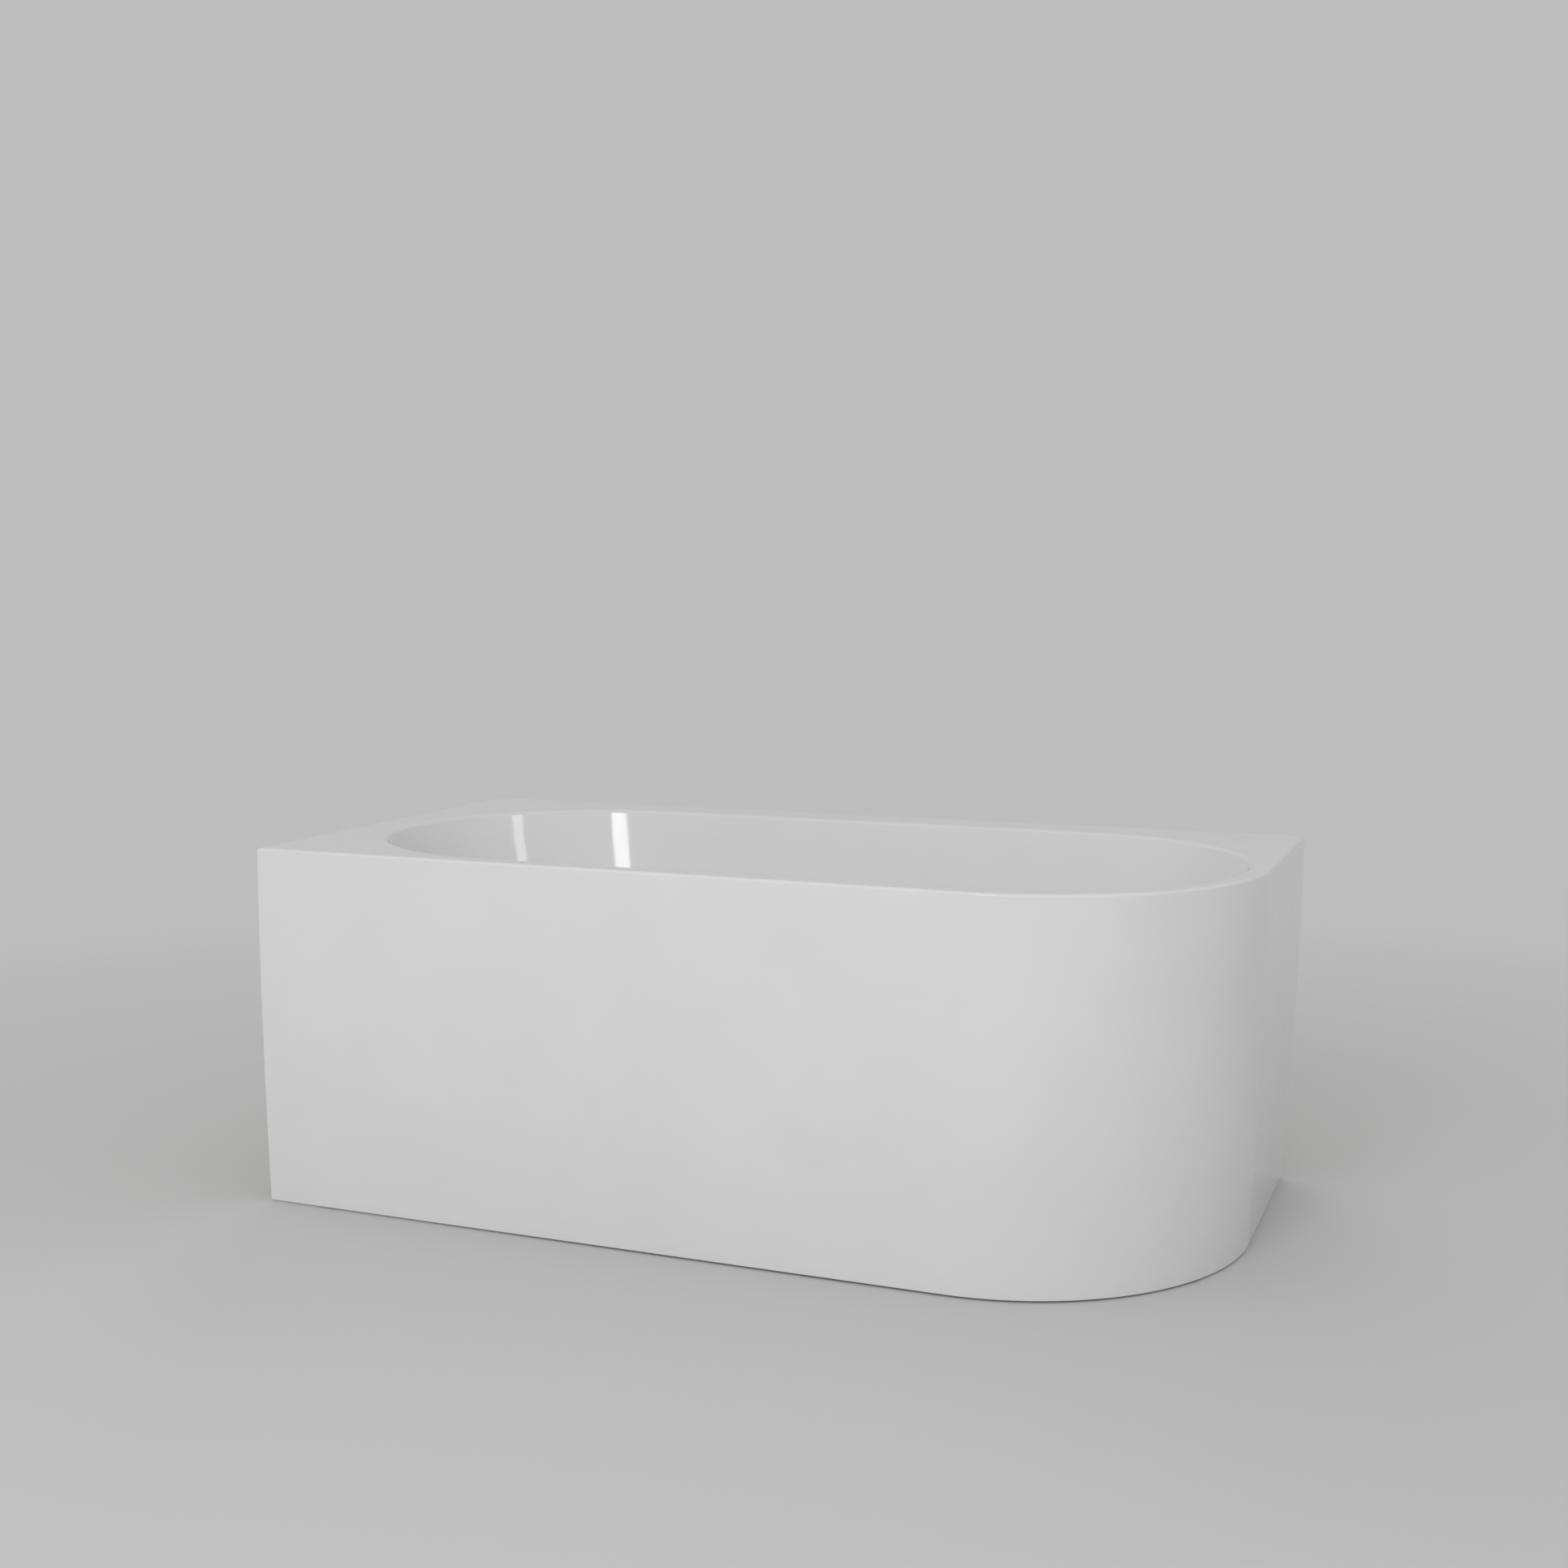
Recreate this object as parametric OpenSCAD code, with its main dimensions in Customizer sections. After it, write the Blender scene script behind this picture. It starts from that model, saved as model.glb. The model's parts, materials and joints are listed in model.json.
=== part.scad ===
// Corner bathtub: an acrylic basin and skirt on a steel frame with levelling feet, waste and overflow
// Origin: middle of the footprint at floor level. +X runs along the back wall, +Y to the back wall, +Z up.
// The left end (-X) and the back (+Y) stand against walls. The skirt closes the front and the right end.

/* [Tub] */
// Length along the back wall
tub_l = 1600; // [1500:10:1700]
// Width out from the back wall
tub_w = 800; // [770:10:850]
// Height of the rim above the floor
tub_h = 600; // [590:5:640]
// Plan radius of the free front corner
corner_r = 385; // [300:5:400]

/* [Rim] */
// Deck width along the front
rim_front = 35; // [33:1:60]
// Deck width along the back wall
rim_back = 90; // [80:1:120]
// Deck width at the left end
rim_left = 75; // [70:1:110]
// Deck width at the right end
rim_right = 33; // [30:1:60]
// Thickness of the deck
rim_t = 6; // [4:0.5:8]
// Rounding of the rim's outer edge
edge_r = 5; // [3:0.5:8]
// Rounding of the basin's opening
lip_r = 6; // [4:0.5:10]
// Height of the rim's edge above the skirt joint
apron_h = 12; // [10:1:16]
// Thickness of the flange that turns down behind the skirt
flange_t = 5; // [3:0.5:6]
// Adhesive gap between flange and skirt
bond_gap = 0.3; // [0.2:0.1:0.6]

/* [Basin] */
// Height of the basin's floor above the room's: room for board, frame, feet and trap
under_basin = 170; // [165:1:180]
// Thickness of the basin wall
shell_t = 6; // [4:0.5:7]
// How far each long side leans in over the depth
side_draft = 75; // [60:1:90]
// How far each end leans in over the depth
end_draft = 170; // [140:5:200]
// Rounding between wall and floor
floor_r = 110; // [90:5:120]
// Fall of the floor to the drain
floor_fall = 6; // [4:1:8]

/* [Skirt] */
// Thickness of the skirt
skirt_t = 5; // [4:0.5:6]
// How far the skirt steps in at the floor
skirt_inset = 40; // [20:1:44]
// Share of that step that comes from the bow
skirt_bow = 0.45; // [0:0.05:0.6]
// Shadow gap under the skirt
skirt_gap = 3; // [2:0.5:6]

/* [Carrying structure] */
// Thickness of the board under the basin floor
board_t = 16; // [12:1:18]
// Thickness of the timber under the rim
batten_t = 18; // [16:1:22]
// Width of the timber along the back
batten_back_w = 45; // [40:1:50]
// Width of the timber along the left end
batten_left_w = 38; // [34:1:40]
// Outer size of the square frame tubes
tube = 25; // [20:1:27]
// Wall of the frame tubes
tube_t = 2; // [1.5:0.5:3]
// From the left wall to the left cross member's middle
cross_left_in = 100; // [80:5:160]
// From the right end to the right cross member's middle
cross_right_in = 112; // [108:2:150]
// From the basin's middle to the middle cross member
cross_middle_off = 180; // [170:5:230]
// Rails either side of the basin's middle
rail_off = 120; // [110:2:135]
// From the front rim to the skirt rail's front face
skirt_rail_in = 50; // [44:1:52]
// From the back wall to the cross members' ends
cross_back_in = 50; // [45:1:60]

/* [Feet] */
// Radius of the foot pads
pad_r = 22; // [18:1:24]
// Height of the foot pads
pad_h = 12; // [10:1:14]
// Radius of the threaded foot rods
rod_r = 5; // [4:0.5:6]
// Height of the nuts welded under the cross members
weld_nut_h = 10; // [8:1:12]
// Height of the lock nuts
lock_nut_h = 6; // [5:1:8]
// From a cross member's end to its foot
foot_in = 30; // [28:1:40]

/* [Waste] */
// Radius of the drain hole
drain_r = 26; // [25:0.5:28]
// Radius of the waste flange
flange_r = 35; // [34:0.5:37]
// Outer radius of the waste body
waste_r = 36; // [35:0.5:38]
// Outer radius of the drain pipes
pipe_r = 20; // [19:0.5:21]
// Wall of the drain pipes
pipe_t = 2.5; // [2:0.5:3]
// Straight end of the outlet for the house's drain
outlet_l = 60; // [40:5:80]
// Lift of the plug
plug_lift = 10; // [8:0.5:11]

/* [Overflow] */
// From the rim down to the overflow's middle
overflow_drop = 95; // [90:1:105]
// Radius of the turning knob
knob_r = 35; // [33:0.5:38]
// Height of the turning knob
knob_h = 12; // [10:0.5:16]
// Outer radius of the body behind the wall
overflow_r = 33; // [32:0.5:35]
// Depth of the body behind the wall
overflow_deep = 27; // [26:0.5:29]
// Outer radius of the overflow hose
hose_r = 11; // [10:0.5:11.5]
// Radius of the control cable
cable_r = 2.5; // [2:0.25:3]

/* [Wall brackets] */
// Length of both bracket legs
bracket_leg = 40; // [38:1:48]
// Width of the brackets
bracket_w = 60; // [54:2:80]
// Thickness of the brackets
bracket_t = 3; // [2:0.5:4]
// Spacing of the two screw holes in the wall leg
bracket_pitch = 30; // [24:1:36]
// Radius of the screw holes in the wall leg
bracket_hole_r = 4; // [3:0.25:5]
// From the rim's middle to the back brackets
bracket_back_off = 450; // [350:10:550]
// From the rim's middle to the left brackets
bracket_left_off = 240; // [200:10:280]

/* [Hidden] */
$fn = 64;

// Colours
acrylic = [0.93, 0.93, 0.93];
plywood = [0.78, 0.64, 0.45];
timber = [0.84, 0.70, 0.50];
zinc = [0.72, 0.74, 0.76];
bright = [0.86, 0.87, 0.88];
dark_rubber = [0.12, 0.12, 0.12];
white_plastic = [0.88, 0.88, 0.86];
black_plastic = [0.10, 0.10, 0.11];
grey_plastic = [0.45, 0.46, 0.47];

// Clearances
run_gap = 0.05;    // radial, in the bores that something turns or slides in
free_gap = 0.5;    // radial, where something only passes through
seat_gap = 0.3;    // between a moving piece and what it rests on
cut = 1;           // how far a cutting solid runs past a face
small_fn = 24;     // sides of screws and their holes

// Footprint and opening
half_l = tub_l / 2;
half_w = tub_w / 2;
open_w = (tub_w - rim_front - rim_back) / 2;
open_l = (tub_l - rim_left - rim_right) / 2;
basin_x = (rim_left - rim_right) / 2;
basin_y = (rim_front - rim_back) / 2;
end_x = open_l - open_w;

// Levels, from the rim down
joint_z = tub_h - apron_h;
batten_bot = tub_h - rim_t - batten_t;
basin_depth = tub_h - under_basin;
floor_z = under_basin;
drain_z = floor_z - floor_fall;
under_z = drain_z - shell_t;
board_bot = under_z - board_t;
rail_bot = board_bot - tube;
cross_bot = rail_bot - tube;
weld_bot = cross_bot - weld_nut_h;
lock_bot = weld_bot - lock_nut_h;

// Facets of the basin and the skirt
quarter = 12;                       // steps in a quarter turn
last = 4 * quarter + 1;             // last point of a ring
step_deg = 90 / quarter;
wall_steps = 4;
fillet_steps = 7;
round_steps = 3;
skirt_steps = 8;

function clamp(v, low, high) = min(max(v, low), high);

// How far the free sides lie inside the rim at height z, from the rim's rounded edge down
function depth_share(z) = max(0, tub_h - edge_r - z) / (tub_h - edge_r);
function skirt_in(z) = skirt_inset * ((1 - skirt_bow) * depth_share(z) + skirt_bow * pow(depth_share(z), 2));

// A ring has two half turns: the right one from -90 to 90 degrees, the left one from 90 to 270
function ring_deg(i) = i <= 2 * quarter ? -90 + i * step_deg : 90 + (i - 2 * quarter - 1) * step_deg;
function ring_side(i) = i <= 2 * quarter ? 1 : -1;

// Stadium ring with half width a and half length b
function stadium(a, b, z) = [for (i = [0:last])
    [basin_x + ring_side(i) * (b - a) + a * cos(ring_deg(i)), basin_y + a * sin(ring_deg(i)), z]];

// Round ring about the drain, with as many points
function drain_ring(r, z) = [for (i = [0:last])
    let (deg = -90 + 360 * (i + 0.5) / (last + 1)) [basin_x + r * cos(deg), basin_y + r * sin(deg), z]];

// Where a ray from the middle of an end's arc leaves the footprint
function ray_hit(sx, deg) = let (
    tx = abs(cos(deg)) < 0.001 ? 1e6 : ((cos(deg) > 0 ? half_l : -half_l) - sx) / cos(deg),
    ty = abs(sin(deg)) < 0.001 ? 1e6 : ((sin(deg) > 0 ? half_w : -half_w) - basin_y) / sin(deg),
    t = min(tx, ty)
) [sx + t * cos(deg), basin_y + t * sin(deg)];

// The ring points that become the footprint's three square corners
function corner_steps(dx, dy) = round(atan2(dy, dx) / step_deg);
right_back_i = quarter + corner_steps(half_l - basin_x - end_x, half_w - basin_y);
left_back_i = 3 * quarter + 1 - corner_steps(half_l + basin_x - end_x, half_w - basin_y);
left_front_i = 3 * quarter + 1 + corner_steps(half_l + basin_x - end_x, half_w + basin_y);

function square_corner(i) =
    i == right_back_i ? [half_l, half_w] :
    i == left_back_i ? [-half_l, half_w] :
    i == left_front_i ? [-half_l, -half_w] :
    ray_hit(basin_x + ring_side(i) * end_x, ring_deg(i));

// Outline ring, off inside the edge. The free sides also follow the skirt's step at its height.
function outline(off, z) = let (free = skirt_in(z)) [for (i = [0:last])
    i <= quarter
        ? [half_l - free - corner_r + (corner_r - off) * cos(ring_deg(i)),
            -half_w + free + corner_r + (corner_r - off) * sin(ring_deg(i)), z]
        : let (p = square_corner(i)) [
            clamp(p[0], -half_l + off, half_l - free - off),
            clamp(p[1], -half_w + free + off, half_w - off), z]];

// Basin wall: upright rings at height z, then the rounding into the floor, off outside the inner face
function draft_share(z) = (tub_h - z) / basin_depth;
function wall_ring(extra, z_draft, z) = stadium(
    open_w - side_draft * draft_share(z_draft) - extra,
    open_l - end_draft * draft_share(z_draft) - extra, z);
function fillet_ring(deg, off, drop) = let (centre_z = floor_z + floor_r) wall_ring(
    floor_r - (floor_r + off) * cos(deg),
    centre_z - floor_r * sin(deg),
    centre_z - (floor_r + off + drop) * sin(deg));

wall_top = tub_h - lip_r;
wall_low = floor_z + floor_r;
drain_seat_r = flange_r + 5;      // flat round the drain that the flange lies on

shell_rings = concat(
    [drain_ring(drain_r, drain_z), drain_ring(drain_seat_r, drain_z)],
    [for (s = [fillet_steps:-1:0]) fillet_ring(90 * s / fillet_steps, 0, 0)],
    [for (s = [1:wall_steps]) let (z = wall_low + (wall_top - wall_low) * s / wall_steps) wall_ring(0, z, z)],
    [for (s = [round_steps - 1:-1:0]) let (deg = 90 * s / round_steps, z = tub_h - lip_r * (1 - cos(deg)))
        wall_ring(-lip_r * (1 - sin(deg)), z, z)],
    [for (s = [0:round_steps]) let (deg = 90 * s / round_steps)
        outline(edge_r * (1 - sin(deg)), tub_h - edge_r * (1 - cos(deg)))],
    [outline(0, joint_z), outline(skirt_t + bond_gap, joint_z)],
    [outline(skirt_t + bond_gap, batten_bot), outline(skirt_t + bond_gap + flange_t, batten_bot)],
    [outline(skirt_t + bond_gap + flange_t, tub_h - rim_t)],
    [wall_ring(-shell_t, tub_h - rim_t, tub_h - rim_t)],
    [for (s = [0:fillet_steps]) fillet_ring(90 * s / fillet_steps, shell_t, floor_fall)],
    [drain_ring(drain_r, under_z)]
);

// Closed skin over a list of rings, the last joined to the first
module ring_skin(rings) {
    n = len(rings[0]);
    points = [for (ring = rings) for (p = ring) p];
    faces = [for (j = [0:len(rings) - 1]) for (i = [0:n - 1])
        let (next = (j + 1) % len(rings), a = j * n + i, b = j * n + (i + 1) % n)
        let (c = next * n + i, d = next * n + (i + 1) % n)
        each [[a, b, d], [a, d, c]]];
    polyhedron(points, faces);
}

// Closed skin over a list of rings, with a cap on the first and the last
module capped_skin(rings) {
    n = len(rings[0]);
    m = len(rings) - 1;
    points = [for (ring = rings) for (p = ring) p];
    sides = [for (j = [0:m - 1]) for (i = [0:n - 1])
        let (a = j * n + i, b = j * n + (i + 1) % n, c = a + n, d = b + n) each [[a, b, d], [a, d, c]]];
    polyhedron(points, concat(sides, [[for (i = [n - 1:-1:0]) i]], [[for (i = [0:n - 1]) m * n + i]]));
}

module on_front_wall() {
    translate([basin_x, overflow_y, overflow_z]) rotate([wall_deg - 90, 0, 0]) children();
}

// Overflow: z from the inner face into the basin, y down along the wall
wall_deg = atan(side_draft / basin_depth);
overflow_z = tub_h - overflow_drop;
overflow_y = basin_y - (open_w - side_draft * draft_share(overflow_z));
gasket_w = 7;
gasket_t = 3;
overflow_hole_r = overflow_r - gasket_w;

module basin_shell() {
    color(acrylic) difference() {
        ring_skin(shell_rings);
        on_front_wall() translate([0, 0, -shell_t - cut])
            cylinder(r = overflow_hole_r, h = shell_t + 2 * cut);
    }
}

// Skirt: a strip along the front, round the free corner and along the right end, in levels
skirt_levels = [for (s = [0:skirt_steps]) skirt_gap + (joint_z - skirt_gap) * s / skirt_steps];

function skirt_path(off, z) = let (free = skirt_in(z), ring = outline(off, z)) concat(
    [[-half_l, -half_w + free + off, z]],
    [for (i = [0:quarter]) ring[i]],
    [[half_l - free - off, half_w, z]]);

function reversed(list) = [for (i = [len(list) - 1:-1:0]) list[i]];

module skirt_panel() {
    n = quarter + 3;
    m = 2 * n;
    points = [for (z = skirt_levels) each concat(skirt_path(0, z), reversed(skirt_path(skirt_t, z)))];
    sides = [for (j = [0:skirt_steps - 1]) for (i = [0:m - 1])
        let (a = j * m + i, b = j * m + (i + 1) % m, c = a + m, d = b + m) each [[a, c, d], [a, d, b]]];
    ends = [for (i = [0:n - 2]) let (low = i, back = m - 2 - i, top = skirt_steps * m)
        each [[low, low + 1, back], [low, back, back + 1],
            [top + low, top + back, top + low + 1], [top + low, top + back + 1, top + back]]];
    color(acrylic) polyhedron(points, concat(sides, ends));
}

// Board under the flat of the basin floor
board_half_w = open_w - side_draft - floor_r;
board_half_l = open_l - end_draft - floor_r;
board_hole_gap = 10;
board_hole_r = waste_r + board_hole_gap;

module floor_board() {
    color(plywood) translate([basin_x, basin_y, board_bot]) difference() {
        linear_extrude(board_t) union() {
            square([2 * (board_half_l - board_half_w), 2 * board_half_w], center = true);
            for (side = [-1, 1]) translate([side * (board_half_l - board_half_w), 0]) circle(board_half_w);
        }
        translate([0, 0, -cut]) cylinder(r = board_hole_r, h = board_t + 2 * cut);
        for (p = board_screw_at) translate([p[0] - basin_x, p[1] - basin_y, -cut])
            cylinder(r = screw_r, h = screw_bite + cut, $fn = small_fn);
    }
}

// Timber under the rim, against the turned-down flange, drilled for the brackets' screws
batten_in = skirt_t + bond_gap + flange_t;
batten_end_gap = 96;        // between the back timber and the flange at the right end
batten_back_l = tub_l - 2 * batten_in - batten_end_gap;
batten_left_l = tub_w - 3 * batten_in - batten_back_w;

module rim_batten_back() {
    color(timber) difference() {
        translate([-half_l + batten_in, half_w - batten_in - batten_back_w, batten_bot])
            cube([batten_back_l, batten_back_w, batten_t]);
        for (side = [-1, 1]) at_back_wall(side) bracket_pilots();
    }
}

module rim_batten_left() {
    color(timber) difference() {
        translate([-half_l + batten_in, -half_w + 2 * batten_in, batten_bot])
            cube([batten_left_w, batten_left_l, batten_t]);
        for (side = [-1, 1]) at_left_wall(side) bracket_pilots();
    }
}

// Frame tubes
rail_front_y = basin_y - rail_off;
rail_back_y = basin_y + rail_off;
cross_left_x = -half_l + cross_left_in;
cross_right_x = half_l - cross_right_in;
cross_middle_x = basin_x + cross_middle_off;
cross_back_y = half_w - cross_back_in;
rail_left_end = cross_left_x - tube / 2;
rail_right_end = cross_right_x + tube / 2;
skirt_rail_y = -half_w + skirt_rail_in + tube / 2;
skirt_rail_end = half_l - corner_r - skirt_rail_in - tube;
screw_r = 2.5;
screw_bite = 12;
cross_clear = 22;     // between the right cross member's front end and the skirt's corner

// Front end of the right cross member, inside the rounded corner
corner_low_in = skirt_in(cross_bot);
corner_dx = rail_right_end - (half_l - corner_low_in - corner_r);
cross_right_front_y = -half_w + corner_low_in + corner_r
    - sqrt(pow(corner_r - skirt_t - cross_clear, 2) - pow(corner_dx, 2));
cross_front_y = skirt_rail_y - tube / 2;

board_screw_x = [basin_x - 0.7 * board_half_l, basin_x - 0.25 * board_half_l, basin_x + 0.6 * board_half_l];
board_screw_at = [for (x = board_screw_x) for (y = [rail_front_y, rail_back_y]) [x, y]];
block_left_in = 200;
block_pitch = 360;
block_end_in = 70;
block_back_in = 90;
block_back_pitch = 180;
block_w = 50;
block_over = 10;      // how far the blocks stand above and below their tube
block_h = tube + 2 * block_over;
block_z = rail_bot - block_over;
first_block_x = -half_l + block_left_in;
front_block_x = [first_block_x, first_block_x + block_pitch, skirt_rail_end - block_end_in];
right_block_y = [half_w - block_back_in, half_w - block_back_in - block_back_pitch];

module tube_x(x0, x1, y, z) {
    translate([x0, y - tube / 2, z]) difference() {
        cube([x1 - x0, tube, tube]);
        translate([-cut, tube_t, tube_t]) cube([x1 - x0 + 2 * cut, tube - 2 * tube_t, tube - 2 * tube_t]);
    }
}

module tube_y(y0, y1, x, z) {
    translate([x - tube / 2, y0, z]) difference() {
        cube([tube, y1 - y0, tube]);
        translate([tube_t, -cut, tube_t]) cube([tube - 2 * tube_t, y1 - y0 + 2 * cut, tube - 2 * tube_t]);
    }
}

module board_rail(y) {
    color(zinc) difference() {
        tube_x(rail_left_end, rail_right_end, y, rail_bot);
        for (x = board_screw_x) translate([x, y, rail_bot - cut])
            cylinder(r = screw_r + run_gap, h = tube + 2 * cut, $fn = small_fn);
    }
}

module frame_rail_front() { board_rail(rail_front_y); }
module frame_rail_back() { board_rail(rail_back_y); }

module frame_rail_skirt() {
    color(zinc) difference() {
        tube_x(rail_left_end, skirt_rail_end, skirt_rail_y, rail_bot);
        for (x = front_block_x) translate([x, skirt_rail_y - tube, rail_bot + tube / 2]) rotate([-90, 0, 0])
            cylinder(r = screw_r + run_gap, h = 2 * tube, $fn = small_fn);
    }
}

// Feet: two under each cross member, as [x, y]
foot_at = [
    [cross_left_x, cross_front_y + foot_in],
    [cross_left_x, cross_back_y - foot_in],
    [cross_middle_x, cross_front_y + foot_in],
    [cross_middle_x, cross_back_y - foot_in],
    [cross_right_x, cross_right_front_y + foot_in],
    [cross_right_x, cross_back_y - foot_in]
];

module cross_member(x, y0, first_foot) {
    color(zinc) difference() {
        tube_y(y0, cross_back_y, x, cross_bot);
        for (n = [first_foot, first_foot + 1]) translate([foot_at[n][0], foot_at[n][1], cross_bot - cut])
            cylinder(r = rod_r + free_gap, h = tube + 2 * cut);
        if (x == cross_right_x)
            for (y = right_block_y) translate([x - tube, y, cross_bot + tube / 2]) rotate([0, 90, 0])
                cylinder(r = screw_r + run_gap, h = 2 * tube, $fn = small_fn);
    }
}

module frame_cross_left() { cross_member(cross_left_x, cross_front_y, 0); }
module frame_cross_middle() { cross_member(cross_middle_x, cross_front_y, 2); }
module frame_cross_right() { cross_member(cross_right_x, cross_right_front_y, 4); }

module hex_nut(across, h, bore) {
    difference() {
        cylinder(r = across / 2 / cos(30), h = h, $fn = 6);
        translate([0, 0, -cut]) cylinder(r = bore, h = h + 2 * cut);
    }
}

nut_across = 3.4 * rod_r;

module weld_nuts() {
    color(zinc) for (p = foot_at) translate([p[0], p[1], weld_bot])
        hex_nut(nut_across, weld_nut_h, rod_r + run_gap);
}

module lock_nuts() {
    color(zinc) for (p = foot_at) translate([p[0], p[1], lock_bot])
        hex_nut(nut_across, lock_nut_h, rod_r + run_gap);
}

// Levelling feet: a pad that slides down as its rod is screwed out
socket_deep = 7;
socket_wall = 6;
pad_bevel = 1;
foot_nut_h = 6;
rod_short = 5;        // the rods end this far below the rails
rod_bot = pad_h - socket_deep;
rod_top = rail_bot - rod_short;

module foot_pad(n) {
    color(black_plastic) translate([foot_at[n][0], foot_at[n][1], 0]) difference() {
        union() {
            cylinder(r = pad_r, h = pad_h / 2);
            translate([0, 0, pad_h / 2])
                cylinder(r1 = pad_r - pad_bevel, r2 = rod_r + socket_wall, h = pad_h / 2);
        }
        translate([0, 0, rod_bot]) cylinder(r = rod_r + run_gap, h = socket_deep + cut);
    }
}

module foot_rod(n) {
    color(zinc) translate([foot_at[n][0], foot_at[n][1], 0]) union() {
        translate([0, 0, rod_bot]) cylinder(r = rod_r, h = rod_top - rod_bot);
        translate([0, 0, pad_h + run_gap]) cylinder(r = nut_across / 2 / cos(30), h = foot_nut_h, $fn = 6);
    }
}

// Timber between the frame and the skirt's inner face, cut to the skirt's slope
function skirt_face_in(z) = skirt_in(z) + skirt_t + bond_gap;
block_top = block_z + block_h;
cross_block_z = cross_bot - block_over;
cross_block_top = cross_block_z + block_h;

module skirt_blocks() {
    color(timber) {
        for (x = front_block_x) translate([x + block_w / 2, 0, 0]) rotate([90, 0, -90]) difference() {
            linear_extrude(block_w) polygon([
                [-cross_front_y, block_z],
                [half_w - skirt_face_in(block_z), block_z],
                [half_w - skirt_face_in(block_top), block_top],
                [-cross_front_y, block_top]]);
            translate([-cross_front_y - cut, rail_bot + tube / 2, block_w / 2]) rotate([0, 90, 0])
                cylinder(r = screw_r, h = screw_bite + cut, $fn = small_fn);
        }
        for (y = right_block_y) translate([0, y + block_w / 2, 0]) rotate([90, 0, 0]) difference() {
            linear_extrude(block_w) polygon([
                [rail_right_end, cross_block_z],
                [half_l - skirt_face_in(cross_block_z), cross_block_z],
                [half_l - skirt_face_in(cross_block_top), cross_block_top],
                [rail_right_end, cross_block_top]]);
            translate([rail_right_end - cut, cross_bot + tube / 2, block_w / 2]) rotate([0, 90, 0])
                cylinder(r = screw_r, h = screw_bite + cut, $fn = small_fn);
        }
    }
}

// Screw with its head's face at z = 0 and its tip at z = length
head_r = 5;
head_h = 3;

module screw(length) {
    translate([0, 0, -head_h]) cylinder(r = head_r, h = head_h, $fn = small_fn);
    cylinder(r = screw_r, h = length, $fn = small_fn);
}

module block_screws() {
    color(bright) {
        for (x = front_block_x) translate([x, skirt_rail_y + tube / 2, rail_bot + tube / 2])
            rotate([90, 0, 0]) screw(tube + screw_bite);
        for (y = right_block_y) translate([cross_right_x - tube / 2, y, cross_bot + tube / 2])
            rotate([0, 90, 0]) screw(tube + screw_bite);
    }
}

module board_screws() {
    color(bright) for (p = board_screw_at) translate([p[0], p[1], rail_bot]) screw(tube + screw_bite);
}

// Angle brackets: a leg under the rim timber and a leg on the wall, drawn with the wall at y = 0
rim_screw_in = 26;        // from the wall to the rim screws
wall_hole_drop = 24;      // from the timber down to the wall holes
hole_pair = [-0.5, 0.5] * bracket_pitch;

module wall_bracket() {
    color(zinc) difference() {
        union() {
            translate([-bracket_w / 2, -bracket_leg, batten_bot - bracket_t])
                cube([bracket_w, bracket_leg, bracket_t]);
            translate([-bracket_w / 2, -bracket_t, batten_bot - bracket_leg])
                cube([bracket_w, bracket_t, bracket_leg]);
        }
        for (x = hole_pair) translate([x, cut, batten_bot - wall_hole_drop]) rotate([90, 0, 0])
            cylinder(r = bracket_hole_r, h = bracket_t + 2 * cut);
        for (x = hole_pair) translate([x, -rim_screw_in, batten_bot - bracket_t - cut])
            cylinder(r = screw_r + run_gap, h = bracket_t + 2 * cut, $fn = small_fn);
    }
}

module at_back_wall(side) {
    translate([side * bracket_back_off, half_w, 0]) children();
}

module at_left_wall(side) {
    translate([-half_l, side * bracket_left_off, 0]) rotate([0, 0, 90]) children();
}

module bracket_screw_pair() {
    for (x = hole_pair) translate([x, -rim_screw_in, batten_bot - bracket_t]) screw(bracket_t + screw_bite);
}

module bracket_pilots() {
    for (x = hole_pair) translate([x, -rim_screw_in, batten_bot - cut])
        cylinder(r = screw_r, h = screw_bite + cut, $fn = small_fn);
}

module bracket_screws() {
    color(bright) for (side = [-1, 1]) {
        at_back_wall(side) bracket_screw_pair();
        at_left_wall(side) bracket_screw_pair();
    }
}

// Foam strip in the rebate of the rim along both walls
module wall_seal_strip() {
    front = -half_w + skirt_in(batten_bot) + skirt_t + bond_gap;
    right = half_l - skirt_in(batten_bot) - skirt_t - bond_gap;
    color(dark_rubber) translate([0, 0, batten_bot]) linear_extrude(joint_z - batten_bot) polygon([
        [-half_l, front],
        [-half_l + skirt_t, front],
        [-half_l + skirt_t, half_w - skirt_t],
        [right, half_w - skirt_t],
        [right, half_w],
        [-half_l, half_w]]);
}

// Waste: parts are drawn about the drain's axis, at their own heights
seal_t = 1;               // seal under the waste flange
dish_t = 2.5;             // waste flange
dish_bevel = 1;
throat_r = drain_r - free_gap;
throat_t = 2.5;
throat_l = 30;
body_seal_t = 3;          // seal between the basin and the waste body
body_top = under_z - body_seal_t;
collar_h = 12;            // solid top of the waste body, round the throat
collar_bot = body_top - collar_h;
cup_t = 3;                // wall of the waste body
stem_r = 3;
guide_r = 6;              // guide of the plug's stem
spoke_t = 3;
spoke_h = 4;
spoke_bite = 1;           // how far a spoke runs into what it joins
spoke_drop = 14;          // from the drain's edge down to the spokes
spoke_z = drain_z - spoke_drop;
hose_t = 2;
hose_z = rail_bot - hose_r - 6;
hose_stop = 4;            // the hose ends this far outside the waste body
hose_boss_t = 3;
hose_boss_l = 24;
cable_boss_t = 2.5;
cable_boss_l = 12;
cup_bot = hose_z - hose_r - 8;
leg_gap = 24;             // between the legs of the trap's bend
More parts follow.
